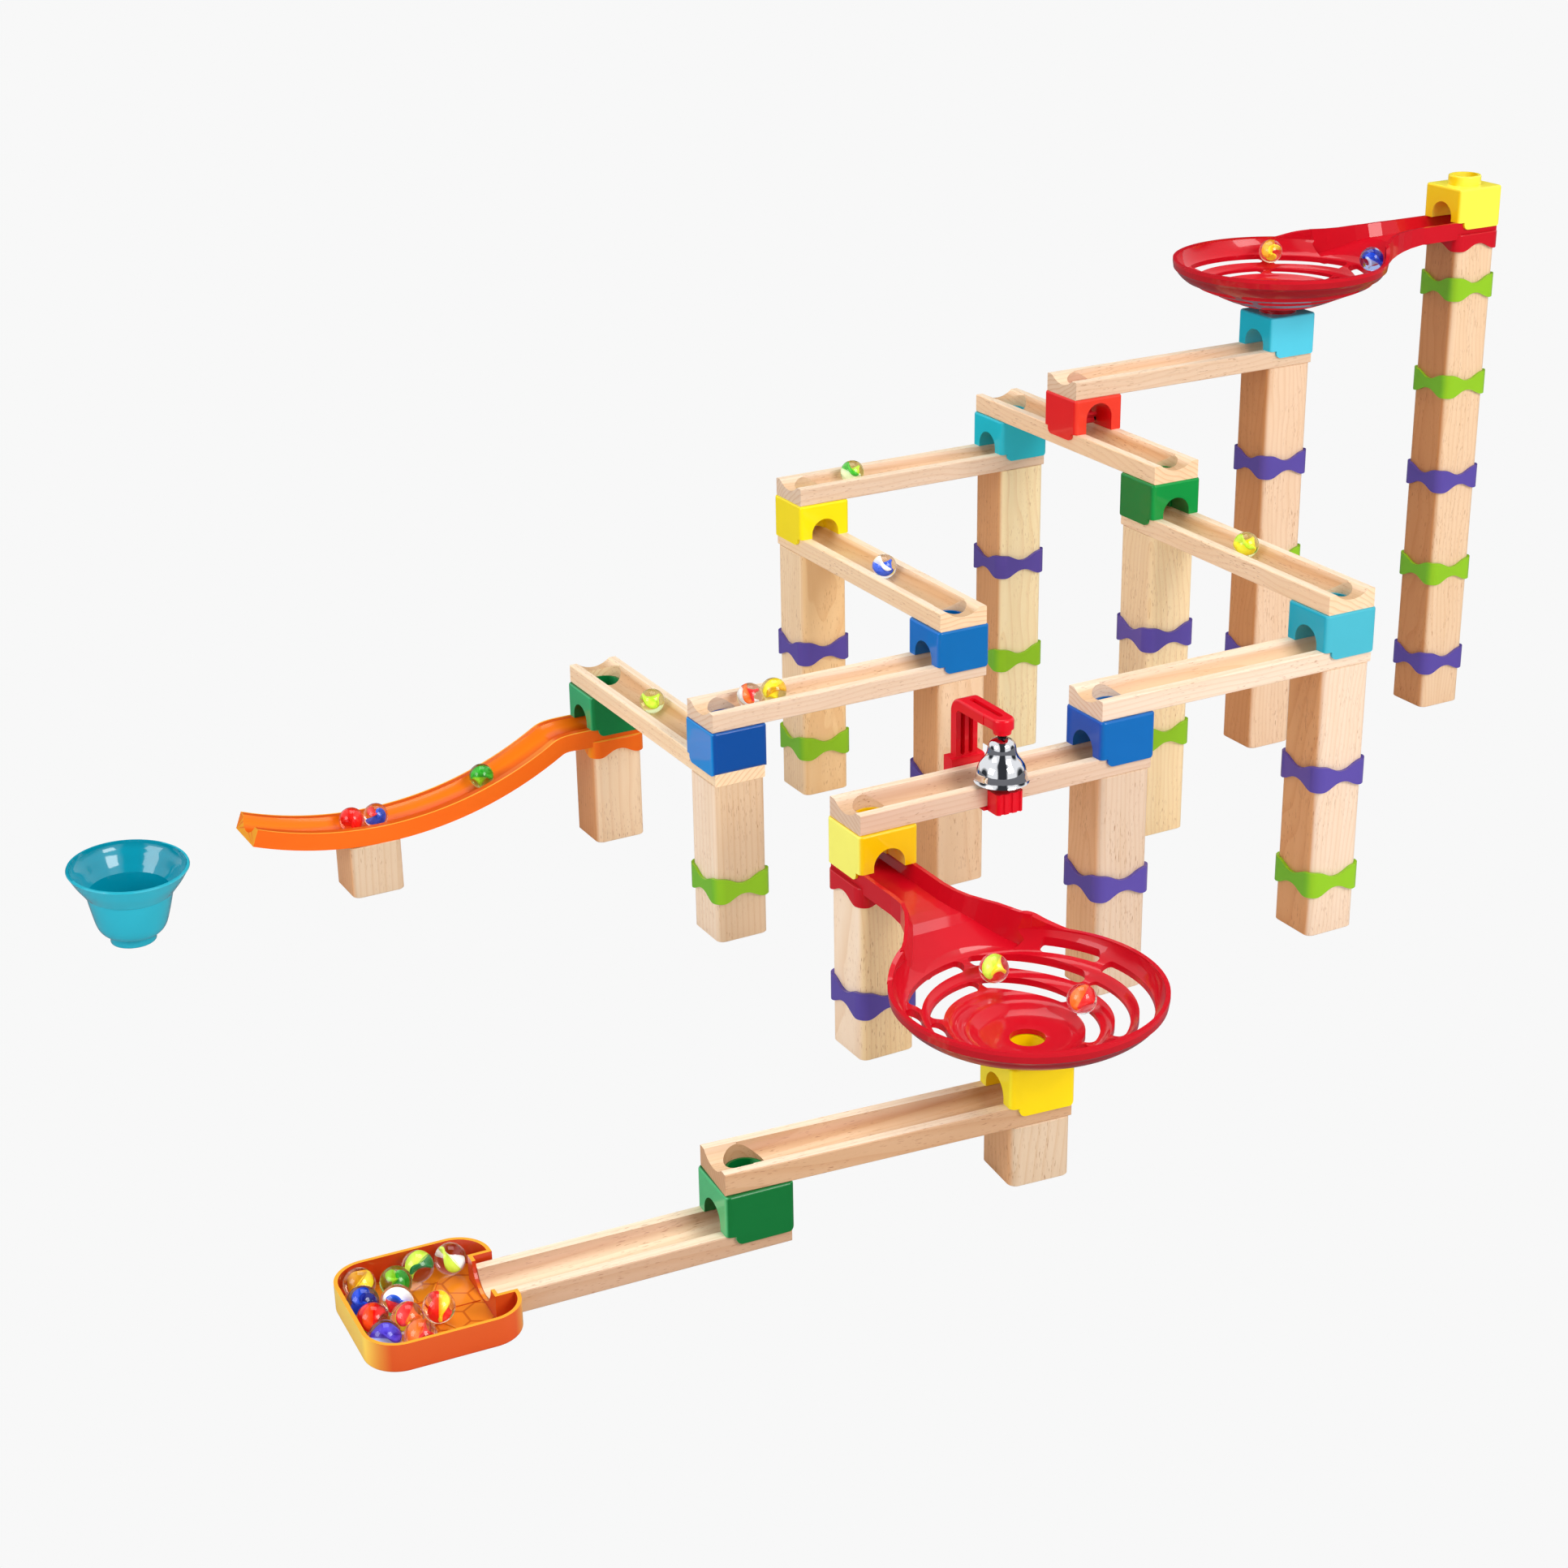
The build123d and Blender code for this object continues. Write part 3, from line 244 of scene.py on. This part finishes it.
def wood(name, grain, offset, tones, turn=0.0, groove_top=None, groove_shade_tint=None):
    """Beech cut along one axis: rings about a line beside the piece, and short dark flecks.

    grain: the axis that the grain follows. turn: the angle by which it is off that axis.
    offset: which cut of the tree this piece is.
    tones: colour of the sides that face X, of those that face Y, and of the top, each with its
    painted light and shade.
    groove_top, groove_shade_tint: height of the top of a milled channel, and the tint of the
    painted shade in it.
    """
    s = Shader(name, roughness=0.42, specular_ior_level=0.42,
               coat_weight=0.12, coat_roughness=0.35)
    x, y, z = s.place()
    nx, ny, nz = s.normal()
    if turn:
        c, d = math.cos(turn), math.sin(turn)
        x, y = x * c + y * d, y * c - x * d
    along, across, up, end = {"X": (x, y, z, nx), "Y": (y, x, z, ny), "Z": (z, x, y, nz)}[grain]

    rnd = random.Random(offset)
    drift = s.noise(along * DRIFT_ALONG + rnd.random() * DRIFT_SHIFT,
                    across * DRIFT_ACROSS, up * DRIFT_ACROSS) - 0.5
    tilt = along * (rnd.random() * GRAIN_TILT - GRAIN_TILT / 2) + drift * GRAIN_WANDER
    a = across + tilt + (rnd.random() * HEART_ASIDE - HEART_ASIDE / 2)
    b = up + tilt * UP_TILT + (HEART_BELOW + rnd.random() * HEART_RANGE)
    radius = (a * a + b * b).root()
    ring = (radius * RINGS + drift * RING_WANDER).part()
    line = ring.ramp(*RING_RISE) * ring.ramp(*RING_FALL)
    band = s.noise(along * BAND_ALONG, across * BAND_ACROSS, up * BAND_ACROSS,
                   BAND_DETAIL).ramp(*BAND_EDGE)
    fleck = s.noise(along * FLECK_ALONG + offset * FLECK_SHIFT, across * FLECK_ACROSS,
                    up * FLECK_ACROSS, 1.0).ramp(*FLECK_EDGE)
    patch = s.noise(along * PATCH_ALONG, across * PATCH_ACROSS,
                    up * PATCH_ACROSS).ramp(*PATCH_EDGE)
    on_end = end.size().ramp(*END_EDGE)

    # painted light and shade: each facing of the wood takes its own tone
    base = s.lit_and_shaded_sides(nx, ny, *tones)
    tone = s.mix(band * BAND_SHARE, base, s.tint(base, WOOD_WARM))
    tone = s.mix(line * (on_end * END_LINE_SHARE + LINE_SHARE), tone, s.tint(base, WOOD_LINE))
    tone = s.mix(fleck * patch * FLECK_SHARE * (on_end * -1.0 + 1.0), tone,
                 s.tint(base, WOOD_FLECK))
    if groove_top is not None:
        # painted shade: the milled channel is darker than the planed faces, darkened under its top
        # on the faces that look up
        groove_shade_mask = (z * -1.0 + groove_top).ramp(*GROOVE_SHADE_DEPTH) * nz.ramp(*GROOVE_SHADE_FACING)
        tone = s.mix(groove_shade_mask * GROOVE_SHADE_SHARE, tone, s.tint(tone, groove_shade_tint))
    s.colour(tone)
    bump = s.make("ShaderNodeBump", {
        "Height": line * LINE_HEIGHT - fleck * FLECK_HEIGHT, "Strength": 0.12, "Distance": 0.0003})
    s.feed(s.bsdf.inputs["Normal"], bump.outputs[0])
    return s.material


# ---------------------------------------------------------------- plastic, metal, glass
SOFT_EDGE, CLOUD_EDGE = (0.3, 0.7), (0.35, 0.65)    # a noise's range that becomes a blotch
MOTTLE_SIZE, MOTTLE_SHARE, MOTTLE_TINT = 40, 0.5, (0.92, 0.92, 0.92, 1.0)
SHADE_BELOW_FACING = (-0.05, -0.3)              # the normal's z over which a face comes to look down and takes the painted shade
SHADED_HOLLOW_SIDE = -0.0005                     # under it, a face looks in at its axis and takes the painted shade


def plastic(name, x_side_as_lit, y_side_as_lit=None, shade_below=None, shaded_hollow=None, roughness=0.3, coat=0.45):
    """Gloss plastic, a little mottled, with its light and shade painted on by facing.

    x_side_as_lit, y_side_as_lit: colour of the sides that face X, and of the rest, each with its
    painted light and shade.
    shade_below: colour of the faces that look down, their painted shade.
    shaded_hollow: x, y and colour of a round inside about that upright line, its painted shade.
    """
    s = Shader(name, roughness=roughness, specular_ior_level=0.14,
               coat_weight=coat, coat_roughness=0.03)
    x, y, z = s.place()
    nx, ny, nz = s.normal()
    y_side_as_lit = y_side_as_lit or x_side_as_lit
    # painted light and shade: sides that face X and the rest take their own tones
    base = s.lit_and_shaded_sides(nx, ny, x_side_as_lit, y_side_as_lit, y_side_as_lit)
    # painted shade on the faces that look down
    if shade_below:
        base = s.mix(nz.ramp(*SHADE_BELOW_FACING), base, shade_below)
    # painted shade on the inside of a round hollow
    if shaded_hollow:
        mid_x, mid_y, inside = shaded_hollow
        base = s.mix(((x - mid_x) * nx + (y - mid_y) * ny).under(SHADED_HOLLOW_SIDE), base, inside)
    mottle = s.noise(x * MOTTLE_SIZE, y * MOTTLE_SIZE, z * MOTTLE_SIZE).ramp(*SOFT_EDGE)
    s.colour(s.mix(mottle * MOTTLE_SHARE, base, s.tint(base, MOTTLE_TINT)))
    return s.material


def extent(node):
    """The low and high end of a CAD node along x, y and z."""
    points = [v.co for v in NODES[node].data.vertices]
    return [(min(p[i] for p in points), max(p[i] for p in points)) for i in range(3)]


ORANGE_FLAT = (0.75, 0.95)                # the normal's z over which a face counts as floor or rim
ORANGE_OUTER = (0.15, 0.85)               # size of the normal's y from the painted tone of the X side to that of the Y side
SLIDE_LIP = (0.0042, 0.0032)              # the slide's rim with its painted highlight, inwards from its outside, m
TRAY_LIP = (0.0015, 0.0005)               # the tray's rim with its painted highlight, down from its top, m
TRAY_SHADE = 0.002                        # depth at which the tray's painted shade begins, m
COMB_CELL = 0.016                         # across the flats of the tray's hexagons, m
# tints of the slide's clouds, and of the tray's painted shade deeper down, on walls and on floor
ORANGE_WALL_TINT = (1.0, 0.8, 0.7, 1.0)
ORANGE_FLOOR_TINT = (0.98, 0.8, 0.6, 1.0)
COMB_TINT = (0.72, 0.46, 0.3, 1.0)


def clear_orange(node, outside, inside, floor, rim_highlight, is_slide, coat):
    """Slightly see-through orange: a painted highlight on the rim, deeper inner walls, painted
    shade lower in the tray, hexagons on the tray's floor.

    outside: colour of the outer sides that face X, and of those that face Y, each with its painted
    light and shade.
    """
    s = Shader("gloss_" + node, roughness=0.32, specular_ior_level=0.12,
               coat_weight=coat, coat_roughness=0.03)
    x, y, z = s.place()
    nx, ny, nz = s.normal()
    (x0, x1), (y0, y1), (z0, z1) = extent(node)
    mid_x, mid_y = x - (x0 + x1) / 2, y - (y0 + y1) / 2
    flat = nz.ramp(*ORANGE_FLAT)
    if is_slide:
        inner = (mid_y * ny).under(0.0)
        half = (y1 - y0) / 2
        edge = flat * mid_y.size().ramp(half - SLIDE_LIP[0], half - SLIDE_LIP[1])
        glow = s.noise(x * 14, y * 60, z * 60).ramp(*CLOUD_EDGE)
    else:
        inner = (mid_x * nx + mid_y * ny).under(0.0)
        edge = flat * z.ramp(z1 - TRAY_LIP[0], z1 - TRAY_LIP[1])
        # painted shade: the tray darkens deeper down
        glow = (z * -1.0 + z1).ramp(TRAY_SHADE, z1 - z0)
    # painted light and shade: outer sides facing X and Y, inner walls and floor each in their own
    # tone
    outer = s.mix(ny.size().ramp(*ORANGE_OUTER), *outside)
    wall = s.mix(inner, s.mix(glow * 0.5, outer, s.tint(outer, ORANGE_WALL_TINT)), inside)
    ground = s.mix(glow * 0.4, floor, s.tint(floor, ORANGE_FLOOR_TINT))
    if not is_slide:
        ground = s.mix(s.comb(x, y, COMB_CELL), ground, s.tint(floor, COMB_TINT))
    tone = s.mix(flat * (edge * -1.0 + 1.0), wall, ground)
    # painted highlight on the rim
    s.colour(s.mix(edge, tone, rim_highlight))
    return s.material


def metal(name, base, roughness):
    """Bare metal, its roughness drawn out along x and y."""
    s = Shader(name, metallic=1.0)
    x, y, z = s.place()
    s.colour(base)
    streak = s.noise(x * 300, y * 300, z * 900).ramp(-1.0, 2.0)
    s.feed(s.bsdf.inputs["Roughness"], streak * roughness * 2)
    return s.material


def glass(name, tint):
    """Clear glass of one tint, with paler clouds."""
    s = Shader(name, roughness=0.0, ior=1.45, transmission_weight=1.0, coat_weight=0.0)
    x, y, z = s.place()
    paler = tuple(min(1.0, v * 1.08) for v in tint[:3]) + (1.0,)
    s.colour(s.mix(s.noise(x * 120, y * 120, z * 120).ramp(*CLOUD_EDGE), tint, paler))
    return s.material


def swirl(name, base):
    """The coloured glass inside a marble, with a painted glow: it gives off a little light of its
    own colour.
    """
    s = Shader(name, roughness=0.35, specular_ior_level=0.2,
               emission_color=base, emission_strength=0.25)
    x, y, z = s.place()
    lit = tuple(min(1.0, v * 1.2 + 0.05) for v in base[:3]) + (1.0,)
    s.colour(s.mix(s.noise(x * 260, y * 260, z * 260).ramp(0.4, 0.6), base, lit))
    return s.material


def paint(node, material):
    """Give a CAD node one material."""
    mesh = NODES[node].data
    mesh.materials.clear()
    mesh.materials.append(material)


# ---------------------------------------------------------------- colours of the CAD nodes
# wood and cube colours are 0-255 display values, each side as the photo's light shows it
# painted shade: the shaded tones given to towers' sides that face X
BEECH_SHADE_DARK, BEECH_SHADE_DEEP, BEECH_SHADE_MID = (208, 144, 90), (226, 166, 112), (236, 184, 136)
# painted light: the paler tone of the lit tops of towers and rails
BEECH_LIT_TOP = linear(246, 226, 200)
# the sides of each tower that face X, and those that face Y, each with its painted light and shade
TOWER_LIT_TONES = dict(
    blocks_a=(BEECH_SHADE_DARK, (240, 206, 170)),
    blocks_b=(BEECH_SHADE_DARK, (240, 207, 176)),
    blocks_d=(BEECH_SHADE_DEEP, (254, 235, 190)),
    blocks_e=((246, 214, 172), (255, 228, 182)),
    blocks_f=(BEECH_SHADE_DEEP, (240, 214, 190)),
    blocks_g=((250, 220, 182), (252, 212, 158)),
    blocks_h=(BEECH_SHADE_DEEP, (240, 206, 170)),
    blocks_i=((252, 228, 202), (230, 200, 166)),
    block_j=(BEECH_SHADE_DEEP, (252, 224, 190)),
    blocks_m=(BEECH_SHADE_MID, (224, 198, 174)),
    blocks_n=((255, 230, 202), (255, 226, 176)),
    low_blocks=(BEECH_SHADE_MID, (220, 196, 168)))
FIRST_TOWER_CUT, FIRST_RAIL_CUT = 11, 40      # so that no two pieces are the same cut
for index, (node, (x_side_as_lit, y_side_as_lit)) in enumerate(TOWER_LIT_TONES.items()):
    tones = (linear(*x_side_as_lit), linear(*y_side_as_lit), BEECH_LIT_TOP)
    paint(node, wood("beech_" + node, "Z", FIRST_TOWER_CUT + index, tones))

# tints of the painted shade in the rails' milled channels
GROOVE_SHADE, DEEP_GROOVE_SHADE, PALE_GROOVE_SHADE, MID_GROOVE_SHADE = (
    (0.84, 0.68, 0.53, 1.0), (0.68, 0.53, 0.38, 1.0),
    (0.95, 0.86, 0.77, 1.0), (0.74, 0.58, 0.46, 1.0))
# each rail's axis, the colour of its long sides, the tint of the painted shade in its channel and
# its turn in degrees
RAILS = {
    1: ("X", (230, 200, 172), PALE_GROOVE_SHADE, 0.0),
    2: ("Y", (250, 214, 176), DEEP_GROOVE_SHADE, 0.0),
    3: ("Y", (250, 216, 180), DEEP_GROOVE_SHADE, 0.0),
    4: ("X", (232, 206, 182), GROOVE_SHADE, 0.0),
    5: ("Y", (254, 222, 184), DEEP_GROOVE_SHADE, 0.0),
    6: ("X", (234, 208, 184), GROOVE_SHADE, 0.0),
    7: ("Y", (255, 226, 188), DEEP_GROOVE_SHADE, 0.0),
    8: ("X", (242, 218, 196), GROOVE_SHADE, 0.0),
    9: ("X", (226, 196, 172), MID_GROOVE_SHADE, 0.0),
    10: ("X", (208, 166, 128), GROOVE_SHADE, -5.5),
    11: ("X", (204, 166, 136), PALE_GROOVE_SHADE, -3.5),
}
for number, (grain, side, rail_groove_shade, degrees) in RAILS.items():
    node = "rail_%d" % number
    groove_top = extent(node)[2][1]
    # painted light: the tops take the paler lit tone
    tones = (linear(*side), linear(*side), BEECH_LIT_TOP)
    paint(node, wood("beech_" + node, grain, FIRST_RAIL_CUT + number, tones,
                     math.radians(degrees), groove_top, rail_groove_shade))

# the sides of each cube that face X, and those that face Y, each with its painted light and shade
CUBE_LIT_TONES = dict(
    a=((250, 210, 12), (255, 240, 76)),
    b=((0, 184, 212), (84, 206, 232)),
    c=((232, 16, 20), (238, 60, 40)),
    d=((0, 194, 216), (40, 190, 210)),
    e=((0, 124, 52), (0, 150, 64)),
    f=((0, 168, 196), (72, 182, 202)),
    g=((255, 230, 0), (254, 236, 0)),
    h=((0, 116, 212), (0, 110, 186)),
    i=((0, 142, 222), (0, 76, 160)),
    j=((50, 176, 112), (10, 126, 64)),
    m=((0, 84, 196), (0, 104, 182)),
    n=((255, 250, 112), (244, 198, 0)),
    p=((254, 238, 40), (254, 220, 0)),
    q=((80, 190, 124), (4, 110, 48)))
for letter, (x_side_as_lit, y_side_as_lit) in CUBE_LIT_TONES.items():
    paint("cube_" + letter, plastic("gloss_cube_" + letter, linear(*x_side_as_lit), linear(*y_side_as_lit)))

paint("purple_collars", plastic("gloss_purple", linear(92, 76, 164)))
# painted light and shade: the lime collars' sides that face X and the rest in their own tones
paint("green_collars", plastic("gloss_lime", linear(120, 190, 44), linear(146, 200, 34)))
# painted shade on the funnels' faces that look down
for node in ("funnel_1", "funnel_2"):
    paint(node, plastic("gloss_" + node, linear(204, 8, 30), shade_below=linear(150, 4, 18)))
# painted light: the bracket takes a lighter copy of the funnels' red for the light it gets
paint("bell_bracket", plastic("gloss_bracket", linear(226, 8, 32)))
paint("switch_flap", plastic("gloss_flap", linear(200, 30, 44)))
# painted light and shade: each facing of the orange plastic has its own tone, with a painted
# highlight on the rim
paint("slide", clear_orange(
    "slide", (linear(252, 170, 30), linear(240, 108, 20)), inside=linear(246, 124, 14),
    floor=linear(218, 86, 5), rim_highlight=linear(255, 184, 66), is_slide=True, coat=0.12))
paint("tray", clear_orange(
    "tray", (linear(255, 214, 84), linear(214, 86, 30)), inside=linear(206, 60, 20),
    floor=linear(238, 138, 28), rim_highlight=linear(248, 168, 48), is_slide=False, coat=0.5))
# painted shade: the cup's inside is darker than its outside
(cup_west, cup_east), (cup_south, cup_north), _ = extent("cup")
cup_inside_shade = ((cup_west + cup_east) / 2, (cup_south + cup_north) / 2, linear(0, 148, 172))
paint("cup", plastic("gloss_cup", linear(42, 180, 202), shaded_hollow=cup_inside_shade,
                     roughness=0.2, coat=0.9))
STEEL = metal("steel_wire", linear(70, 70, 74), 0.3)
for node in ("bell_hook", "bell_pin", "switch_pin"):
    paint(node, STEEL)
paint("bell", metal("bell_chrome", linear(226, 228, 232), 0.03))

# ---------------------------------------------------------------- glass marbles
MARBLE_R = 0.008
MARBLE_SEGMENTS, MARBLE_RINGS = 48, 28
GLASSES = {key: glass("marble_glass_" + key, linear(*tint)) for key, tint in {
    "clear": (252, 254, 252), "lime": (236, 246, 190), "green": (170, 222, 150),
    "warm": (255, 240, 214), "red": (250, 150, 130), "blue": (170, 190, 240)}.items()}
SWIRLS = {key: swirl("marble_swirl_" + key, linear(*base)) for key, base in {
    "yellow": (255, 222, 40), "green": (60, 180, 60), "deep": (30, 120, 60),
    "blue": (24, 84, 214), "navy": (20, 40, 150), "red": (236, 34, 34),
    "orange": (255, 110, 24), "purple": (110, 70, 200), "white": (250, 250, 246),
    "lime": (200, 232, 60), "amber": (236, 170, 30)}.items()}

# a vane of colour: its parts are shares of the marble's radius unless they say metres
VANE_STEPS = 26
VANE_THICK = 0.0006                       # half its thickness, m
VANE_REACH = 0.56                         # how far out it goes
VANE_BACK = -0.1                          # how far its inner edge goes past the middle
VANE_HEIGHT = 0.74
VANE_TIP = 0.02                           # the least square of its width at its ends
VANE_TWIST, TWIST_RANGE = 1.1, 0.5        # radians each way from its middle
PHASE_RANGE = 0.6
SPIN_RANGE = 6.28                         # a marble's turn about the upright
LEAN, LEAN_RANGE = 0.5, 1.2               # and its lean, radians


def loose_centres(node):
    """Centre of each separate solid of a CAD node."""
    work = bmesh.new()
    work.from_mesh(NODES[node].data)
    bmesh.ops.remove_doubles(work, verts=work.verts, dist=1e-6)
    seen, centres = set(), []
    for start in work.verts:
        if start in seen:
            continue
        waiting, group = [start], []
        seen.add(start)
        while waiting:
            vertex = waiting.pop()
            group.append(vertex.co.copy())
            for edge in vertex.link_edges:
                other = edge.other_vert(vertex)
                if other not in seen:
                    seen.add(other)
                    waiting.append(other)
        low = Vector([min(p[i] for p in group) for i in range(3)])
        high = Vector([max(p[i] for p in group) for i in range(3)])
        centres.append((low + high) / 2)
    work.free()
    return centres


def vane(work, centre, twist, phase, spin, slot):
    """A twisted ribbon of colour inside a marble."""
    # its cross-section: across it and through it
    corners = ((VANE_BACK, 1), (1, 1), (1, -1), (VANE_BACK, -1))
    rows = []
    for i in range(VANE_STEPS + 1):
        t = i / VANE_STEPS * 2 - 1
        angle = phase + t * twist
        reach = VANE_REACH * MARBLE_R * math.sqrt(max(VANE_TIP, 1 - t * t))
        side = Vector((math.cos(angle), math.sin(angle), 0))
        flat = Vector((-side.y, side.x, 0)) * VANE_THICK
        base = Vector((0, 0, t * MARBLE_R * VANE_HEIGHT))
        ring = [base + side * reach * across + flat * through for across, through in corners]
        rows.append([work.verts.new(centre + spin @ p) for p in ring])
    for a, b in zip(rows, rows[1:]):
        for i in range(4):
            face = work.faces.new((a[i], a[(i + 1) % 4], b[(i + 1) % 4], b[i]))
            face.material_index, face.smooth = slot, True
    for cap in (rows[0][::-1], rows[-1]):
        work.faces.new(cap).material_index = slot


def marbles(name, node, looks):
    """Glass balls in place of a CAD node's plain ones. looks: glass and vane colours of each."""
    centres = loose_centres(node)
    mesh = bpy.data.meshes.new(name)
    piece = bpy.data.objects.new(name, mesh)
    bpy.context.collection.objects.link(piece)
    work = bmesh.new()
    used = []

    def slot(material):
        if material not in used:
            used.append(material)
            mesh.materials.append(material)
        return used.index(material)

    rnd = random.Random(len(name) * 31 + len(centres))      # any seed: each piece its own
    for centre, (tint, colours) in zip(centres, looks):
        spin = (Matrix.Rotation(rnd.random() * SPIN_RANGE, 3, "Z")
                @ Matrix.Rotation(LEAN + rnd.random() * LEAN_RANGE, 3, "X"))
        shell = slot(GLASSES[tint])
        made = bmesh.ops.create_uvsphere(
            work, u_segments=MARBLE_SEGMENTS, v_segments=MARBLE_RINGS, radius=MARBLE_R)["verts"]
        bmesh.ops.translate(work, verts=made, vec=centre)
        for face in {f for v in made for f in v.link_faces}:
            face.material_index, face.smooth = shell, True
        for i, colour in enumerate(colours):
            phase = i * math.tau / len(colours) + rnd.random() * PHASE_RANGE
            twist = VANE_TWIST + rnd.random() * TWIST_RANGE
            vane(work, centre, twist, phase, spin, slot(SWIRLS[colour]))
    bmesh.ops.recalc_face_normals(work, faces=work.faces)
    work.to_mesh(mesh)
    work.free()
    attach(piece, BODY_OF_NODE[node])
    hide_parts(node)


marbles("glass_rail_3", "marble_rail_3", [("lime", ["yellow", "lime", "yellow"])])
marbles("glass_rail_4", "marble_rail_4", [("lime", ["lime", "green", "white"])])
marbles("glass_rail_5", "marble_rail_5", [("clear", ["blue", "white", "blue"])])
marbles("glass_rail_6", "marbles_rail_6", [
    ("lime", ["yellow", "amber", "yellow"]), ("clear", ["orange", "red", "white"])])
marbles("glass_rail_7", "marble_rail_7", [("lime", ["lime", "lime"])])
marbles("glass_slide_upper", "marble_slide_upper", [("green", ["green", "green", "lime"])])
marbles("glass_slide_lower", "marbles_slide_lower", [
    ("red", ["red", "red", "red"]), ("clear", ["blue", "red", "blue"])])
marbles("glass_funnel_1", "marbles_funnel_1", [
    ("warm", ["amber", "yellow", "yellow"]), ("blue", ["blue", "navy", "white"])])
marbles("glass_funnel_2", "marbles_funnel_2", [
    ("clear", ["lime", "yellow"]), ("clear", ["orange", "red"])])
marbles("glass_tray", "tray_marbles", [
    ("warm", ["amber", "yellow"]), ("blue", ["navy", "blue", "blue"]),
    ("red", ["red", "orange", "red"]), ("blue", ["purple", "purple", "white"]),
    ("clear", ["red", "orange"]), ("clear", ["orange", "red", "yellow"]),
    ("clear", ["blue", "white", "red"]), ("green", ["green", "lime", "green"]),
    ("clear", ["deep", "lime"]), ("clear", ["lime", "white"]),
    ("warm", ["red", "yellow", "red"])])

# ---------------------------------------------------------------- stage, light, camera
BACKDROP = linear(248, 248, 248)            # what the camera sees behind the part
MIRRORED_FLOOR = linear(120, 120, 124)      # what the plastic and the chrome mirror
MIRRORED_SKY = linear(56, 58, 62)
WHITE_PANEL = linear(255, 255, 255)
FLOOR_HALF = 4.0                            # half the floor's width, m
FLOOR_GAP = 0.0002                          # how far it lies below the part, m

CAMERA_SPOT = (-0.84712, -1.28797, 0.75030)
CAMERA_TURN = [math.radians(a) for a in (67.207, 0.962, -28.541)]
CAMERA_LENS = 63.02                         # mm, on a sensor 36 mm wide
CAMERA_REACH = 20.0                         # m

PANEL_NEAR, PANEL_FAR = (0.30, 0.42), (0.97, 0.90)      # how far sideways a panel starts, ends
SKY_TONE, SKY_STRENGTH = linear(250, 250, 252), 0.55


def stage():
    """A pale floor, which camera rays see as the backdrop and mirrors see as grey."""
    s = Shader("studio_white", roughness=0.9, specular_ior_level=0.1)
    s.colour(linear(236, 236, 236))
    shader = s.bsdf.outputs[0]
    for factor, tone in ((s.rays("Glossy"), MIRRORED_FLOOR),
                         (s.rays("Camera", "Transmission"), BACKDROP)):
        glow = s.make("ShaderNodeEmission", {"Color": tone}).outputs[0]
        shader = s.blend(factor, shader, glow)
    s.feed(s.nodes["Material Output"].inputs["Surface"], shader)
    mesh = bpy.data.meshes.new("studio_floor")
    piece = bpy.data.objects.new("studio_floor", mesh)
    bpy.context.collection.objects.link(piece)
    work = bmesh.new()
    bmesh.ops.create_grid(work, x_segments=1, y_segments=1, size=FLOOR_HALF)
    work.to_mesh(mesh)
    work.free()
    piece.location = (0, 0, CAD_BOX[0][2] - FLOOR_GAP)
    mesh.materials.append(s.material)


def surroundings():
    """Soft light all round. Mirrors see two tall white panels left and right of the camera,
    and else a dark room."""
    world = bpy.data.worlds.new("studio")
    bpy.context.scene.world = world
    world.use_nodes = True
    t = Tree(world.node_tree)

    def sky(tone, strength=1.0):
        return t.make("ShaderNodeBackground", {"Color": tone, "Strength": strength}).outputs[0]

    dx, dy, _ = t.split(t.make("ShaderNodeTexCoord", {}).outputs["Generated"])
    turn = CAMERA_TURN[2]
    sideways = (dx * math.cos(turn) + dy * math.sin(turn)).size()
    panel = sideways.ramp(*PANEL_NEAR) * sideways.ramp(*PANEL_FAR)
    mirrored = t.mix(panel, MIRRORED_SKY, WHITE_PANEL)
    shader = t.blend(t.rays("Glossy"), sky(SKY_TONE, SKY_STRENGTH), sky(mirrored))
    shader = t.blend(t.rays("Camera", "Transmission"), shader, sky(BACKDROP))
    t.feed(t.nodes["World Output"].inputs["Surface"], shader)


def softbox(name, spot, size, power, tint=(1, 1, 1)):
    """A square lamp that looks at the middle of the part. size in metres, power in watts."""
    light = bpy.data.lights.new(name, "AREA")
    light.shape, light.size, light.energy, light.color = "SQUARE", size, power, tint
    lamp = bpy.data.objects.new(name, light)
    bpy.context.collection.objects.link(lamp)
    lamp.location = spot
    lamp.rotation_euler = (MIDDLE - Vector(spot)).to_track_quat("-Z", "Y").to_euler()


stage()
surroundings()
MIDDLE = Vector((0.0, 0.0, 0.15))
softbox("key", (0.5, -1.9, 1.5), 1.1, 34, (1.0, 0.98, 0.95))
softbox("side", (-2.0, -0.2, 1.1), 1.0, 14)
softbox("top", (0.2, 0.6, 2.2), 1.4, 20)

camera = bpy.data.cameras.new("camera")
camera.sensor_width, camera.lens = 36.0, CAMERA_LENS
camera.clip_end = CAMERA_REACH
eye = bpy.data.objects.new("camera", camera)
bpy.context.collection.objects.link(eye)
eye.location = CAMERA_SPOT
eye.rotation_euler = CAMERA_TURN
bpy.context.scene.camera = eye
bpy.context.scene.view_settings.view_transform = "Standard"
